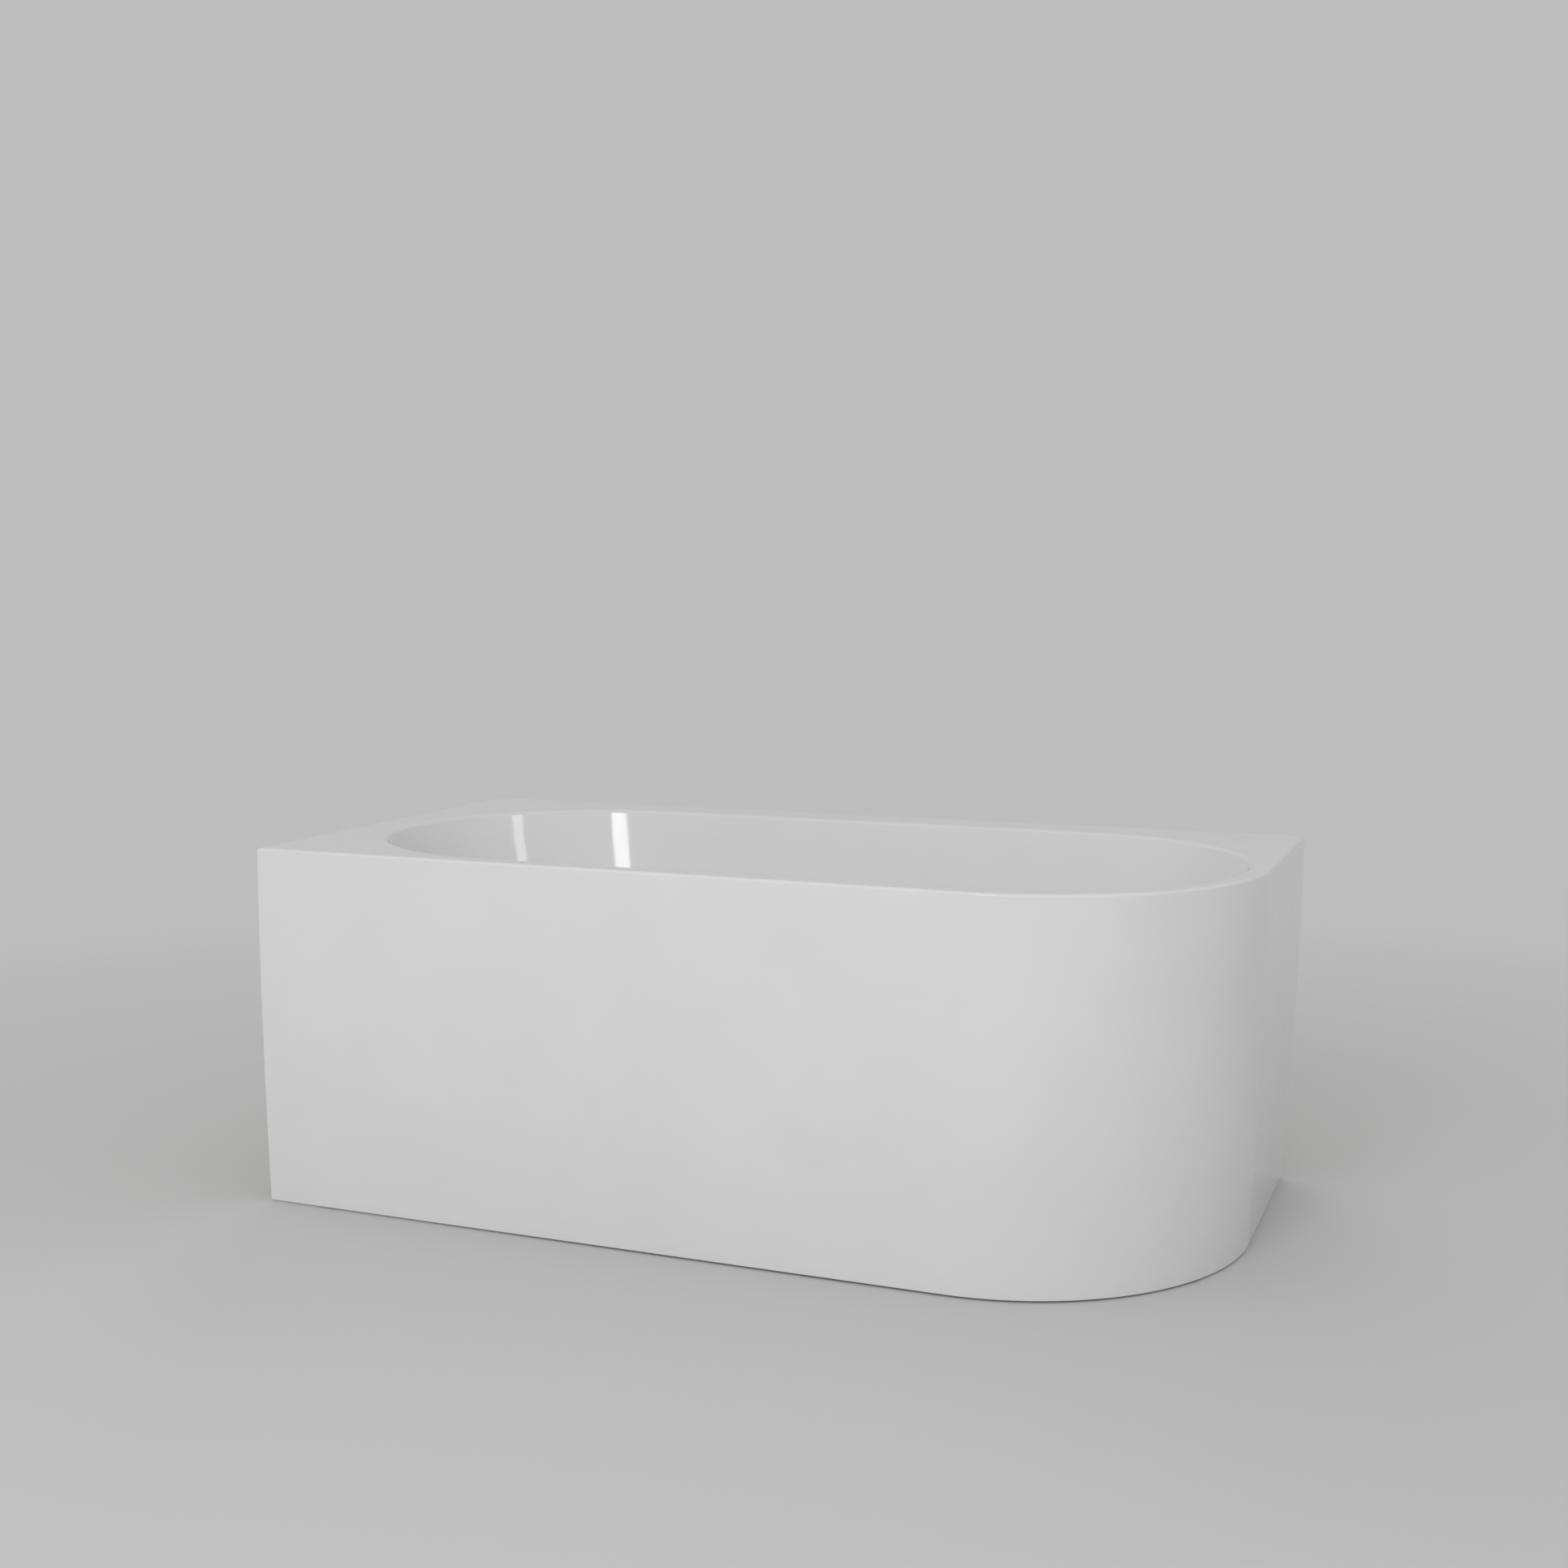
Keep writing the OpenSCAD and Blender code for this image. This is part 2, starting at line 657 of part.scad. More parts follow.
trap_r = pipe_r + leg_gap / 2;
elbow_r = pipe_r + 2;
nut_l = 14;
outlet_z = rail_bot - pipe_r - 2;
trap_joint_z = outlet_z - elbow_r - nut_l / 2;

module at_drain() { translate([basin_x, basin_y, 0]) children(); }

module pipe(outer, inner, z0, z1) {
    translate([0, 0, z0]) difference() {
        cylinder(r = outer, h = z1 - z0);
        translate([0, 0, -cut]) cylinder(r = inner, h = z1 - z0 + 2 * cut);
    }
}

module waste_flange() {
    bore = throat_r - throat_t;
    color(bright) at_drain() union() {
        difference() {
            translate([0, 0, drain_z + seal_t])
                cylinder(r1 = flange_r, r2 = flange_r - dish_bevel, h = dish_t);
            translate([0, 0, drain_z + seal_t - cut]) cylinder(r = bore, h = dish_t + 2 * cut);
        }
        pipe(throat_r, bore, drain_z - throat_l, drain_z + seal_t);
        pipe(guide_r, stem_r + run_gap, spoke_z - spoke_h, spoke_z + spoke_h);
        for (deg = [45:90:315]) rotate([0, 0, deg])
            translate([guide_r - spoke_bite, -spoke_t / 2, spoke_z - spoke_h])
                cube([bore - guide_r + 2 * spoke_bite, spoke_t, spoke_h]);
    }
}

module waste_flange_seal() {
    color(dark_rubber) at_drain() pipe(flange_r - dish_bevel, drain_r + free_gap, drain_z, drain_z + seal_t);
}

module waste_body_seal() {
    color(dark_rubber) at_drain() pipe(waste_r, drain_r + free_gap, body_top, under_z);
}

// Plug: a cap with its seal, on a stem that stands on the crank
cap_seal_t = 1.5;
cap_r = flange_r - 3;
cap_z = drain_z + seal_t + dish_t + seat_gap + cap_seal_t;
cap_t = 2.5;
cap_bevel_h = 1.5;
cap_bevel_w = 3;
boss_r = guide_r + 3;
boss_h = 5;

module plug_cap() {
    color(bright) at_drain() union() {
        translate([0, 0, cap_z]) cylinder(r = cap_r, h = cap_t);
        translate([0, 0, cap_z + cap_t]) cylinder(r1 = cap_r, r2 = cap_r - cap_bevel_w, h = cap_bevel_h);
        translate([0, 0, cap_z - boss_h]) cylinder(r = boss_r, h = boss_h);
    }
}

module plug_seal() {
    color(dark_rubber) at_drain() pipe(cap_r - 2, boss_r, cap_z - cap_seal_t, cap_z);
}

module plug_stem() {
    color(bright) at_drain() translate([0, 0, stem_bot]) cylinder(r = stem_r, h = cap_z - boss_h - stem_bot);
}

// Crank under the stem: a shaft along X, an arm to the middle and an arm to the cable
cable_dx = 24;            // the cable runs this far beside the overflow hose
crank_off = 14;           // from the drain's axis to the crank's shaft
crank_z = hose_z + 14;
crank_r = 2.5;
crank_end = cable_dx + 1;
tip_r = 2.5;              // rounded tip of the arm under the stem
arm_w = 4;
arm_t = 3;
cable_arm_l = 11;
crank_half_deg = asin(plug_lift / 2 / crank_off);
stem_bot = crank_z + tip_r - plug_lift / 2 + seat_gap;
ear_x = [7, 18];          // the two ears that carry the shaft
ear_t = 3;
ear_h = 10;

module lift_crank() {
    color(black_plastic) at_drain() translate([0, -crank_off, crank_z]) union() {
        translate([-arm_w / 2, 0, 0]) rotate([0, 90, 0]) cylinder(r = crank_r, h = crank_end + arm_w / 2);
        rotate([-crank_half_deg, 0, 0]) {
            translate([-arm_w / 2, 0, -arm_t / 2]) cube([arm_w, crank_off, arm_t]);
            translate([-arm_w / 2, crank_off, 0]) rotate([0, 90, 0]) cylinder(r = tip_r, h = arm_w);
        }
        translate([crank_end - arm_t, -arm_t / 2, -cable_arm_l]) cube([arm_t, arm_t, cable_arm_l]);
    }
}

module crank_ears() {
    for (x = ear_x) translate([x, -waste_r, crank_z - ear_h / 2]) difference() {
        cube([ear_t, waste_r - crank_off + ear_h / 2, ear_h]);
        translate([-cut, waste_r - crank_off, ear_h / 2]) rotate([0, 90, 0])
            cylinder(r = crank_r + run_gap, h = ear_t + 2 * cut);
    }
}

// Towards the front wall from the drain, from y0 to y1 out from its axis
module side_bore(r, x, y0, y1) {
    translate([x, -y0, hose_z]) rotate([90, 0, 0]) cylinder(r = r, h = y1 - y0);
}

module waste_body() {
    neck_r = pipe_r - pipe_t;
    color(white_plastic) at_drain() difference() {
        union() {
            translate([0, 0, cup_bot]) cylinder(r = waste_r, h = body_top - cup_bot);
            translate([0, 0, trap_joint_z]) cylinder(r = pipe_r, h = cup_bot - trap_joint_z);
            side_bore(hose_r + hose_boss_t, 0, 0, waste_r + hose_boss_l);
            side_bore(cable_r + cable_boss_t, cable_dx, 0, waste_r + cable_boss_l);
        }
        difference() {
            translate([0, 0, cup_bot + cup_t])
                cylinder(r = waste_r - cup_t, h = collar_bot - cup_bot - cup_t);
            crank_ears();
        }
        translate([0, 0, collar_bot - cut]) cylinder(r = throat_r + run_gap, h = collar_h + 2 * cut);
        translate([0, 0, trap_joint_z - cut])
            cylinder(r = neck_r, h = cup_bot + cup_t - trap_joint_z + 2 * cut);
        side_bore(hose_r - hose_t, 0, waste_r - cup_t - cut, waste_r + hose_stop + cut);
        side_bore(hose_r + run_gap, 0, waste_r + hose_stop, waste_r + hose_boss_l + cut);
        side_bore(cable_r + run_gap, cable_dx, 0, waste_r + cable_boss_l + cut);
    }
}

// Overflow parts, about the overflow's axis
plate_t = 3;
plate_lap = 4;            // how far the flange reaches past the hole
inlet_at = 13;            // from the axis to the inlet holes
inlet_r = 5;
post_at = 20;             // from the axis to the two screws
post_r = 5;
post_solid = 10;          // height of a post below its screw hole
post_room = 2;            // between the hole's end and the screw's tip
spindle_r = 4;
bearing_t = 3;
bearing_h = 6;
body_t = 3;               // wall of the overflow body
body_front = -shell_t - gasket_t;
body_back = body_front - overflow_deep;
hose_w = body_back / 2 - 6.5;
top_boss_t = 2.5;
top_boss_l = 18;
top_boss_end = overflow_r + top_boss_l;
hose_start = overflow_r + 3;
cable_hole_start = 12;
cable_boss_end = overflow_r + 4;
knob_z = plate_t + 5;
knob_t = 3;
knob_bevel = 2;
drum_r = 11;              // disc that pulls the cable
drum_h = 6;
drum_z = body_back + 7;
pin_at = 7;               // from the axis to the pin that the cable hooks on
pin_r = 2;
pin_h = 4;

module overflow_flange() {
    color(bright) on_front_wall() difference() {
        cylinder(r = overflow_hole_r + plate_lap, h = plate_t);
        translate([0, 0, -cut]) cylinder(r = spindle_r + run_gap, h = plate_t + 2 * cut);
        for (deg = [0:60:300]) rotate([0, 0, deg]) translate([inlet_at, 0, -cut])
            cylinder(r = inlet_r, h = plate_t + 2 * cut);
        for (side = [-1, 1]) translate([0, side * post_at, -cut])
            cylinder(r = screw_r + run_gap, h = plate_t + 2 * cut, $fn = small_fn);
    }
}

module overflow_gasket() {
    color(dark_rubber) on_front_wall() pipe(overflow_r, overflow_hole_r, body_front, -shell_t);
}

// Down the wall from the overflow's axis, from y0 to y1
module down_bore(r, x, y0, y1) {
    translate([x, y0, hose_w]) rotate([-90, 0, 0]) cylinder(r = r, h = y1 - y0);
}

module screw_post(side) {
    translate([0, side * post_at, body_back]) difference() {
        cylinder(r = post_r, h = overflow_deep);
        translate([0, 0, post_solid]) cylinder(r = screw_r, h = overflow_deep, $fn = small_fn);
    }
}

module spindle_bearing() {
    translate([0, 0, body_back]) difference() {
        cylinder(r = spindle_r + bearing_t, h = bearing_h);
        translate([0, 0, body_t]) cylinder(r = spindle_r + run_gap, h = bearing_h);
    }
}

module overflow_body() {
    color(white_plastic) on_front_wall() difference() {
        union() {
            translate([0, 0, body_back]) cylinder(r = overflow_r, h = overflow_deep);
            down_bore(hose_r + top_boss_t, 0, 0, top_boss_end);
            down_bore(cable_r + cable_boss_t, cable_dx, 0, cable_boss_end);
        }
        difference() {
            translate([0, 0, body_back + body_t]) cylinder(r = overflow_r - body_t, h = overflow_deep);
            for (side = [-1, 1]) screw_post(side);
            spindle_bearing();
        }
        down_bore(hose_r - hose_t, 0, overflow_r - 2 * body_t, hose_start + cut);
        down_bore(hose_r + run_gap, 0, hose_start, top_boss_end + cut);
        down_bore(cable_r + run_gap, cable_dx, cable_hole_start, cable_boss_end + cut);
    }
}

module overflow_screws() {
    color(bright) on_front_wall() for (side = [-1, 1]) translate([0, side * post_at, plate_t])
        mirror([0, 0, 1]) screw(plate_t - body_back - post_solid - post_room);
}

module overflow_knob() {
    color(bright) on_front_wall() translate([0, 0, knob_z]) difference() {
        union() {
            cylinder(r = knob_r, h = knob_h - knob_bevel);
            translate([0, 0, knob_h - knob_bevel])
                cylinder(r1 = knob_r, r2 = knob_r - knob_bevel, h = knob_bevel);
        }
        translate([0, 0, -cut]) difference() {
            cylinder(r = knob_r - knob_t, h = knob_h - knob_t + cut);
            cylinder(r = spindle_r + knob_t, h = knob_h);
        }
        translate([0, 0, -cut]) cylinder(r = spindle_r, h = knob_h - knob_t + cut);
    }
}

module knob_spindle() {
    spindle_bot = body_back + body_t + seat_gap;
    color(black_plastic) on_front_wall() union() {
        translate([0, 0, spindle_bot]) cylinder(r = spindle_r, h = knob_z + knob_h - knob_t - spindle_bot);
        translate([0, 0, drum_z]) cylinder(r = drum_r, h = drum_h);
        translate([pin_at, 0, drum_z + drum_h]) cylinder(r = pin_r, h = pin_h, $fn = small_fn);
    }
}

// Hose and cable: down along the wall, round a bend and level to the waste body
bend_r = 70;
hose_sides = 24;
cable_sides = 10;
bend_steps = 10;
cable_start_y = overflow_r / 2;
hose_bend_z = hose_z + bend_r * (1 - sin(wall_deg));
hose_end_y = basin_y - waste_r - hose_stop;
cable_end_y = basin_y - waste_r + cup_t;

// World place of a point of the overflow frame, as [y, z]
function on_wall(y, w) = [
    overflow_y + y * sin(wall_deg) + w * cos(wall_deg),
    overflow_z - y * cos(wall_deg) + w * sin(wall_deg)];

// Length of the straight run from a point of the wall frame, and where the bend then ends
function run_l(start) = (start[1] - hose_bend_z) / cos(wall_deg);
function run_bend_y(start) = start[0] + run_l(start) * sin(wall_deg) + bend_r * cos(wall_deg);

// Ring of n points about a point [y, z] of the run, square to a heading of deg above level
function run_ring(r, n, dx, at, deg) = [for (k = [0:n - 1]) let (a = 360 * k / n)
    [basin_x + dx + r * cos(a), at[0] - r * sin(a) * sin(deg), at[1] + r * sin(a) * cos(deg)]];

function run_rings(r, n, dx, start, end_y) = concat(
    [run_ring(r, n, dx, start, wall_deg - 90)],
    [for (s = [0:bend_steps]) let (deg = (wall_deg - 90) * (1 - s / bend_steps)) run_ring(r, n, dx,
        [run_bend_y(start) + bend_r * sin(deg), hose_z + bend_r - bend_r * cos(deg)], deg)],
    [run_ring(r, n, dx, [end_y, hose_z], 0)]);

module overflow_hose() {
    start = on_wall(hose_start, hose_w);
    inside = run_rings(hose_r - hose_t, hose_sides, 0, start, hose_end_y);
    outside = run_rings(hose_r, hose_sides, 0, start, hose_end_y);
    color(grey_plastic) ring_skin(concat(outside, reversed(inside)));
}

module control_cable() {
    rings = run_rings(cable_r, cable_sides, cable_dx, on_wall(cable_start_y, hose_w), cable_end_y);
    color(dark_rubber) capped_skin(rings);
}

// Nut over the end of a boss, with the hose through it
hose_nut_h = 18;
hose_nut_lap = 12;        // how far the nut reaches over the boss
hose_nut_t = 3;

module hose_nut(boss_r) {
    difference() {
        cylinder(r = boss_r + hose_nut_t, h = hose_nut_h);
        translate([0, 0, -cut]) cylinder(r = boss_r + run_gap, h = hose_nut_lap + cut);
        translate([0, 0, hose_nut_lap - cut])
            cylinder(r = hose_r + run_gap, h = hose_nut_h - hose_nut_lap + 2 * cut);
    }
}

module hose_nut_top() {
    color(black_plastic) on_front_wall() translate([0, top_boss_end - hose_nut_lap, hose_w])
        rotate([-90, 0, 0]) hose_nut(hose_r + top_boss_t);
}

module hose_nut_bottom() {
    nut_y = basin_y - waste_r - hose_boss_l + hose_nut_lap;
    color(black_plastic) translate([basin_x, nut_y, hose_z]) rotate([90, 0, 0])
        hose_nut(hose_r + hose_boss_t);
}

// Trap: a U bend under the waste body, then an elbow to the back
trap_x = basin_x + 2 * trap_r;
trap_z = trap_joint_z - nut_l / 2;          // where the U bend's legs end
nut_t = 6;
outlet_start_y = basin_y + elbow_r + nut_l;
cleanout_r = pipe_r - 6;
cleanout_t = 3;
cleanout_l = pipe_r + 12;
cap_h = 5;
cap_bite = 8;
bead_t = 1.5;             // stop that a drain pipe's socket meets

module u_bend(r) {
    translate([basin_x + trap_r, basin_y, trap_z]) rotate([90, 0, 0]) rotate([0, 0, 180])
        rotate_extrude(angle = 180) translate([trap_r, 0]) circle(r);
}

// Both legs of the bend, up to the joints
module legs(r, over) {
    for (x = [basin_x, trap_x]) translate([x, basin_y, trap_z]) cylinder(r = r, h = nut_l / 2 + over);
}

module trap_bend() {
    color(white_plastic) difference() {
        union() {
            u_bend(pipe_r);
            legs(pipe_r, 0);
            translate([basin_x + trap_r, basin_y, trap_z - trap_r]) rotate([90, 0, 0])
                cylinder(r = cleanout_r, h = cleanout_l);
        }
        u_bend(pipe_r - pipe_t);
        legs(pipe_r - pipe_t, cut);
        translate([basin_x + trap_r, basin_y, trap_z - trap_r]) rotate([90, 0, 0])
            cylinder(r = cleanout_r - cleanout_t, h = cleanout_l + cut);
    }
}

module union_nut(x) {
    translate([x, basin_y, trap_joint_z - nut_l / 2]) difference() {
        cylinder(r = pipe_r + nut_t, h = nut_l);
        translate([0, 0, -cut]) cylinder(r = pipe_r + run_gap, h = nut_l + 2 * cut);
    }
}

module trap_nut_in() { color(white_plastic) union_nut(basin_x); }
module trap_nut_out() { color(white_plastic) union_nut(trap_x); }

module elbow(r, over) {
    translate([trap_x, basin_y, trap_joint_z - over]) cylinder(r = r, h = nut_l / 2 + over);
    translate([trap_x, basin_y + elbow_r, outlet_z - elbow_r]) rotate([90, 0, 90]) rotate([0, 0, 90])
        rotate_extrude(angle = 90) translate([elbow_r, 0]) circle(r);
    translate([trap_x, basin_y + elbow_r, outlet_z]) rotate([-90, 0, 0])
        cylinder(r = r, h = outlet_start_y + outlet_l - basin_y - elbow_r + over);
}

module trap_outlet() {
    color(white_plastic) difference() {
        union() {
            elbow(pipe_r, 0);
            translate([trap_x, outlet_start_y - nut_l / 2, outlet_z]) rotate([-90, 0, 0])
                cylinder(r = pipe_r + bead_t, h = nut_l / 2);
        }
        elbow(pipe_r - pipe_t, cut);
    }
}

module trap_cleanout_cap() {
    color(white_plastic) translate([basin_x + trap_r, basin_y - cleanout_l, trap_z - trap_r])
        rotate([90, 0, 0]) union() {
            cylinder(r = cleanout_r + 1, h = cap_h);
            translate([0, 0, -cap_bite]) cylinder(r = cleanout_r - cleanout_t - run_gap, h = cap_bite);
        }
}

basin_shell();
skirt_panel();
floor_board();
rim_batten_back();
rim_batten_left();
frame_rail_skirt();
frame_rail_front();
frame_rail_back();
frame_cross_left();
frame_cross_middle();
frame_cross_right();
weld_nuts();
lock_nuts();
skirt_blocks();
block_screws();
board_screws();
at_back_wall(-1) wall_bracket();  // wall_bracket_back_1
at_back_wall(1) wall_bracket();  // wall_bracket_back_2
at_left_wall(-1) wall_bracket();  // wall_bracket_left_1
at_left_wall(1) wall_bracket();  // wall_bracket_left_2
bracket_screws();
wall_seal_strip();
waste_flange();
waste_flange_seal();
waste_body_seal();
waste_body();
plug_cap();
plug_seal();
plug_stem();
lift_crank();
overflow_knob();
knob_spindle();
overflow_flange();
overflow_gasket();
overflow_body();
overflow_screws();
overflow_hose();
hose_nut_top();
hose_nut_bottom();
control_cable();
trap_nut_in();
trap_bend();
trap_nut_out();
trap_outlet();
trap_cleanout_cap();
for (n = [1:6]) {
    foot_pad(n - 1);
    foot_rod(n - 1);
}
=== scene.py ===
# %% [markdown]
# # A corner bathtub, dressed for the camera
# The real tub starts as one sheet of cast acrylic, heated and sucked down over a mould. Glass fibre and
# resin are sprayed on its back, a plywood board goes under its floor, and a steel frame on levelling feet
# carries it. A bonded skirt closes the two free sides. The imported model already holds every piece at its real
# size, so this lesson only gives surfaces, and makes again the pieces whose curves or small features the eye
# looks for.

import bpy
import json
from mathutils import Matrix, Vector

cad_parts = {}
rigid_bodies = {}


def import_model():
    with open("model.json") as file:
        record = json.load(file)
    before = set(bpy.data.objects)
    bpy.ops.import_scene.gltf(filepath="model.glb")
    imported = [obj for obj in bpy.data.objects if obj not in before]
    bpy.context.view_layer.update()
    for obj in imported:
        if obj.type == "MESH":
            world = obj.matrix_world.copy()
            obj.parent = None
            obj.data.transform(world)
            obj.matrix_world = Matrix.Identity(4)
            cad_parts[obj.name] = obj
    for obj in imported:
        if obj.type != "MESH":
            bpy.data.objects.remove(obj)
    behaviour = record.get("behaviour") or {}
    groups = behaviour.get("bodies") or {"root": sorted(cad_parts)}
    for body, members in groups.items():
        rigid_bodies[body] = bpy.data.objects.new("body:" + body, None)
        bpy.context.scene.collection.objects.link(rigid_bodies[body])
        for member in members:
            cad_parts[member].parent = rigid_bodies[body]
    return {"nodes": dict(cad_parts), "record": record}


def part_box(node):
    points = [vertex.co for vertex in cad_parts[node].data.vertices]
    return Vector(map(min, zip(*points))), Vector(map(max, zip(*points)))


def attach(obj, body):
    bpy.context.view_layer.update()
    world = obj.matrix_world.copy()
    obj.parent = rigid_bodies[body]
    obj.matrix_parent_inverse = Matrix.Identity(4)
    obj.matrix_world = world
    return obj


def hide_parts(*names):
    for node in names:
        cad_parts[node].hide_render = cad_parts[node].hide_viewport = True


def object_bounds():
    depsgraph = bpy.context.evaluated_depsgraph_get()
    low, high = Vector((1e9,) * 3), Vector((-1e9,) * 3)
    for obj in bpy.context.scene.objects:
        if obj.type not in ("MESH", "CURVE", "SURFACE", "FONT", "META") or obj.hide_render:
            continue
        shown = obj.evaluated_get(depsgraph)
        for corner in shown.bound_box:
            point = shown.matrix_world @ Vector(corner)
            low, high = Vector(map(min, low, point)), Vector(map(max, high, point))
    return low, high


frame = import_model()
cad_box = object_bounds()

# %% Other modules
import json
import math

import bmesh
import bpy
import numpy as np
from mathutils import Matrix, Vector

scene = bpy.context.scene

# %% [markdown]
# ## Small helpers
# Sizes are written in millimetres, as on the drawing, and Blender works in metres. A new piece is built from
# points in millimetres, linked to the scene, given its material, and set to ride on a body of the model. The
# last step hides the CAD node that it stands for. Where a hole or a recess is needed, a Boolean modifier cuts
# it as a tool would, and its result is kept as the mesh, so no piece carries a cutter.

# %% Points and faces to a piece
MM = 0.001
SAME_POINT, SLIVER = 0.002, 0.005     # in mm: points this close are one, and faces this narrow are closed up
node_body = {node: body for body, nodes in frame["record"]["behaviour"]["bodies"].items() for node in nodes}


def make_piece(name, points, faces, node, materials, replace=True):
    """A mesh piece that rides with a CAD node, takes the given materials, and usually stands for it"""
    mesh = bpy.data.meshes.new(name)
    mesh.from_pydata([tuple(c * MM for c in p) for p in points], [], faces)
    mesh.validate()
    return dress_mesh(name, mesh, node, materials, replace)


def dress_mesh(name, mesh, node, materials, replace=True):
    """The same for a mesh that is already in metres"""
    for material in materials:
        mesh.materials.append(material)
    piece = bpy.data.objects.new(name, mesh)
    scene.collection.objects.link(piece)
    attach(piece, node_body[node])
    if replace:
        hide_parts(node)
    return piece


def smooth(piece, angle=35, weighted=True):
    """Smooth shading that keeps edges sharper than the angle, and keeps flat faces flat"""
    piece.data.shade_smooth()
    piece.data.set_sharp_from_angle(angle=math.radians(angle))
    if weighted:
        modifier = piece.modifiers.new("flat faces stay flat", "WEIGHTED_NORMAL")
        modifier.keep_sharp = True
    return piece


def face_outward(piece, merge_mm=0):
    """Joins points that lie within merge_mm of each other, and turns every face outward"""
    clean = bmesh.new()
    clean.from_mesh(piece.data)
    if merge_mm:
        bmesh.ops.remove_doubles(clean, verts=clean.verts, dist=merge_mm * MM)
    bmesh.ops.recalc_face_normals(clean, faces=clean.faces)
    clean.to_mesh(piece.data)
    clean.free()


def carved(mesh, cutter_mesh, cutter_place=Matrix()):
    """The mesh after a Boolean modifier has cut the cutter's shape out of it"""
    block = bpy.data.objects.new("block", mesh)
    cutter = bpy.data.objects.new("cutter", cutter_mesh)
    scene.collection.objects.link(block)
    scene.collection.objects.link(cutter)
    cutter.matrix_world = cutter_place
    modifier = block.modifiers.new("cut", "BOOLEAN")
    modifier.operation, modifier.solver, modifier.object = "DIFFERENCE", "EXACT", cutter
    bpy.context.view_layer.update()
    result = bpy.data.meshes.new_from_object(block.evaluated_get(bpy.context.evaluated_depsgraph_get()))
    bpy.data.objects.remove(block)
    bpy.data.objects.remove(cutter)
    return result


def turned_to(axis):
    """The rotation that takes Z to an axis"""
    return axis.to_track_quat("Z", "Y").to_matrix()


print("helpers for pieces ready, nodes with a body:", len(node_body))

# %% [markdown]
# ## Materials
# A colour is written as the sRGB hex value that a paint chart would give, and turned to Blender's linear
# light by one function. One more function adds a shader node: it sets its properties, fills its inputs, and
# links an input when it gets another node or its output. Patterns read the Object coordinate, which is in
# metres on every piece here, so a pattern's scale is one over its real size. A noise pattern seldom reaches 0
# or 1, so a Map Range node takes the middle of its range to the values that are wanted. Most surfaces here
# have two tones and two values of roughness that patterns choose between, and a relief, so one function
# finishes those.

# %% Colour, size and node helpers
MIDDLE = {"From Min": 0.3, "From Max": 0.7}     # most of a noise pattern lies in this range
FACTOR, TINT_A, TINT_B, TINTED = 0, 6, 7, 2     # places of a Mix node's sockets for colours


def srgb(hex_code):
    """Linear colour of an sRGB hex value"""
    channels = [int(hex_code[i:i + 2], 16) / 255 for i in (1, 3, 5)]
    linear = [c / 12.92 if c <= 0.04045 else ((c + 0.055) / 1.055) ** 2.4 for c in channels]
    return (*linear, 1)


def per_mm(size):
    """Texture scale of a pattern that repeats every so many millimetres"""
    return 1 / (size * MM)


def set_inputs(owner, node, inputs):
    """Fills a node's inputs; a socket is linked, and a node is linked by its first output"""
    for name, value in inputs.items():
        if isinstance(value, bpy.types.Node):
            value = value.outputs[0]
        if isinstance(value, bpy.types.NodeSocket):
            owner.node_tree.links.new(value, node.inputs[name])
        else:
            node.inputs[name].default_value = value


def add_node(owner, kind, inputs=None, **settings):
    """Adds a node with its settings and links to a material or the world"""
    node = owner.node_tree.nodes.new(kind)
    for name, value in settings.items():
        setattr(node, name, value)
    set_inputs(owner, node, inputs or {})
    return node


def new_material(name):
    """A material, its Principled shader, and where a point is on the piece"""
    material = bpy.data.materials.new(name)
    material.use_nodes = True
    place = add_node(material, "ShaderNodeTexCoord").outputs["Object"]
    return material, material.node_tree.nodes["Principled BSDF"], place


def finish(material, shader, tone_by, tones, dull_by, dullness, relief, relief_mm, **inputs):
    """Two tones and two values of roughness, each chosen by a pattern from 0 to 1, and a relief"""
    tone = add_node(material, "ShaderNodeMix", {
        FACTOR: tone_by, TINT_A: srgb(tones[0]), TINT_B: srgb(tones[1])}, data_type="RGBA")
    dull = add_node(material, "ShaderNodeMapRange", {
        "Value": dull_by, "To Min": dullness[0], "To Max": dullness[1]})
    bump = add_node(material, "ShaderNodeBump", {"Height": relief, "Distance": relief_mm * MM})
    set_inputs(material, shader, {
        "Base Color": tone.outputs[TINTED], "Roughness": dull, "Normal": bump, **inputs})


# %% [markdown]
# ### Cast acrylic, vacuum formed
# Sanitary acrylic is white all through, and its skin is the mould's polished skin: IOR 1.49 and very low
# roughness. Forming leaves two things that the eye reads as real: reflections that bend a little over waves
# some centimetres long, and a sheen that changes slightly where the sheet was stretched.

# %% Acrylic
ACRYLIC_SMOOTH, ACRYLIC_DULL = 0.055, 0.085
acrylic, shader, place = new_material("cast_acrylic_white")
stretched = add_node(acrylic, "ShaderNodeTexNoise", {"Vector": place, "Scale": per_mm(160), "Detail": 2})
stretched = add_node(acrylic, "ShaderNodeMapRange", {"Value": stretched, **MIDDLE})
sheen = add_node(acrylic, "ShaderNodeTexNoise", {"Vector": place, "Scale": per_mm(45), "Detail": 3})
sheen = add_node(acrylic, "ShaderNodeMapRange", {"Value": sheen, **MIDDLE})
waves = add_node(acrylic, "ShaderNodeTexNoise", {"Vector": place, "Scale": per_mm(70), "Detail": 1})
finish(acrylic, shader, stretched, ("#dadada", "#dddddd"), sheen, (ACRYLIC_SMOOTH, ACRYLIC_DULL), waves, 0.05,
       IOR=1.49)
print("acrylic roughness", ACRYLIC_SMOOTH, "to", ACRYLIC_DULL)

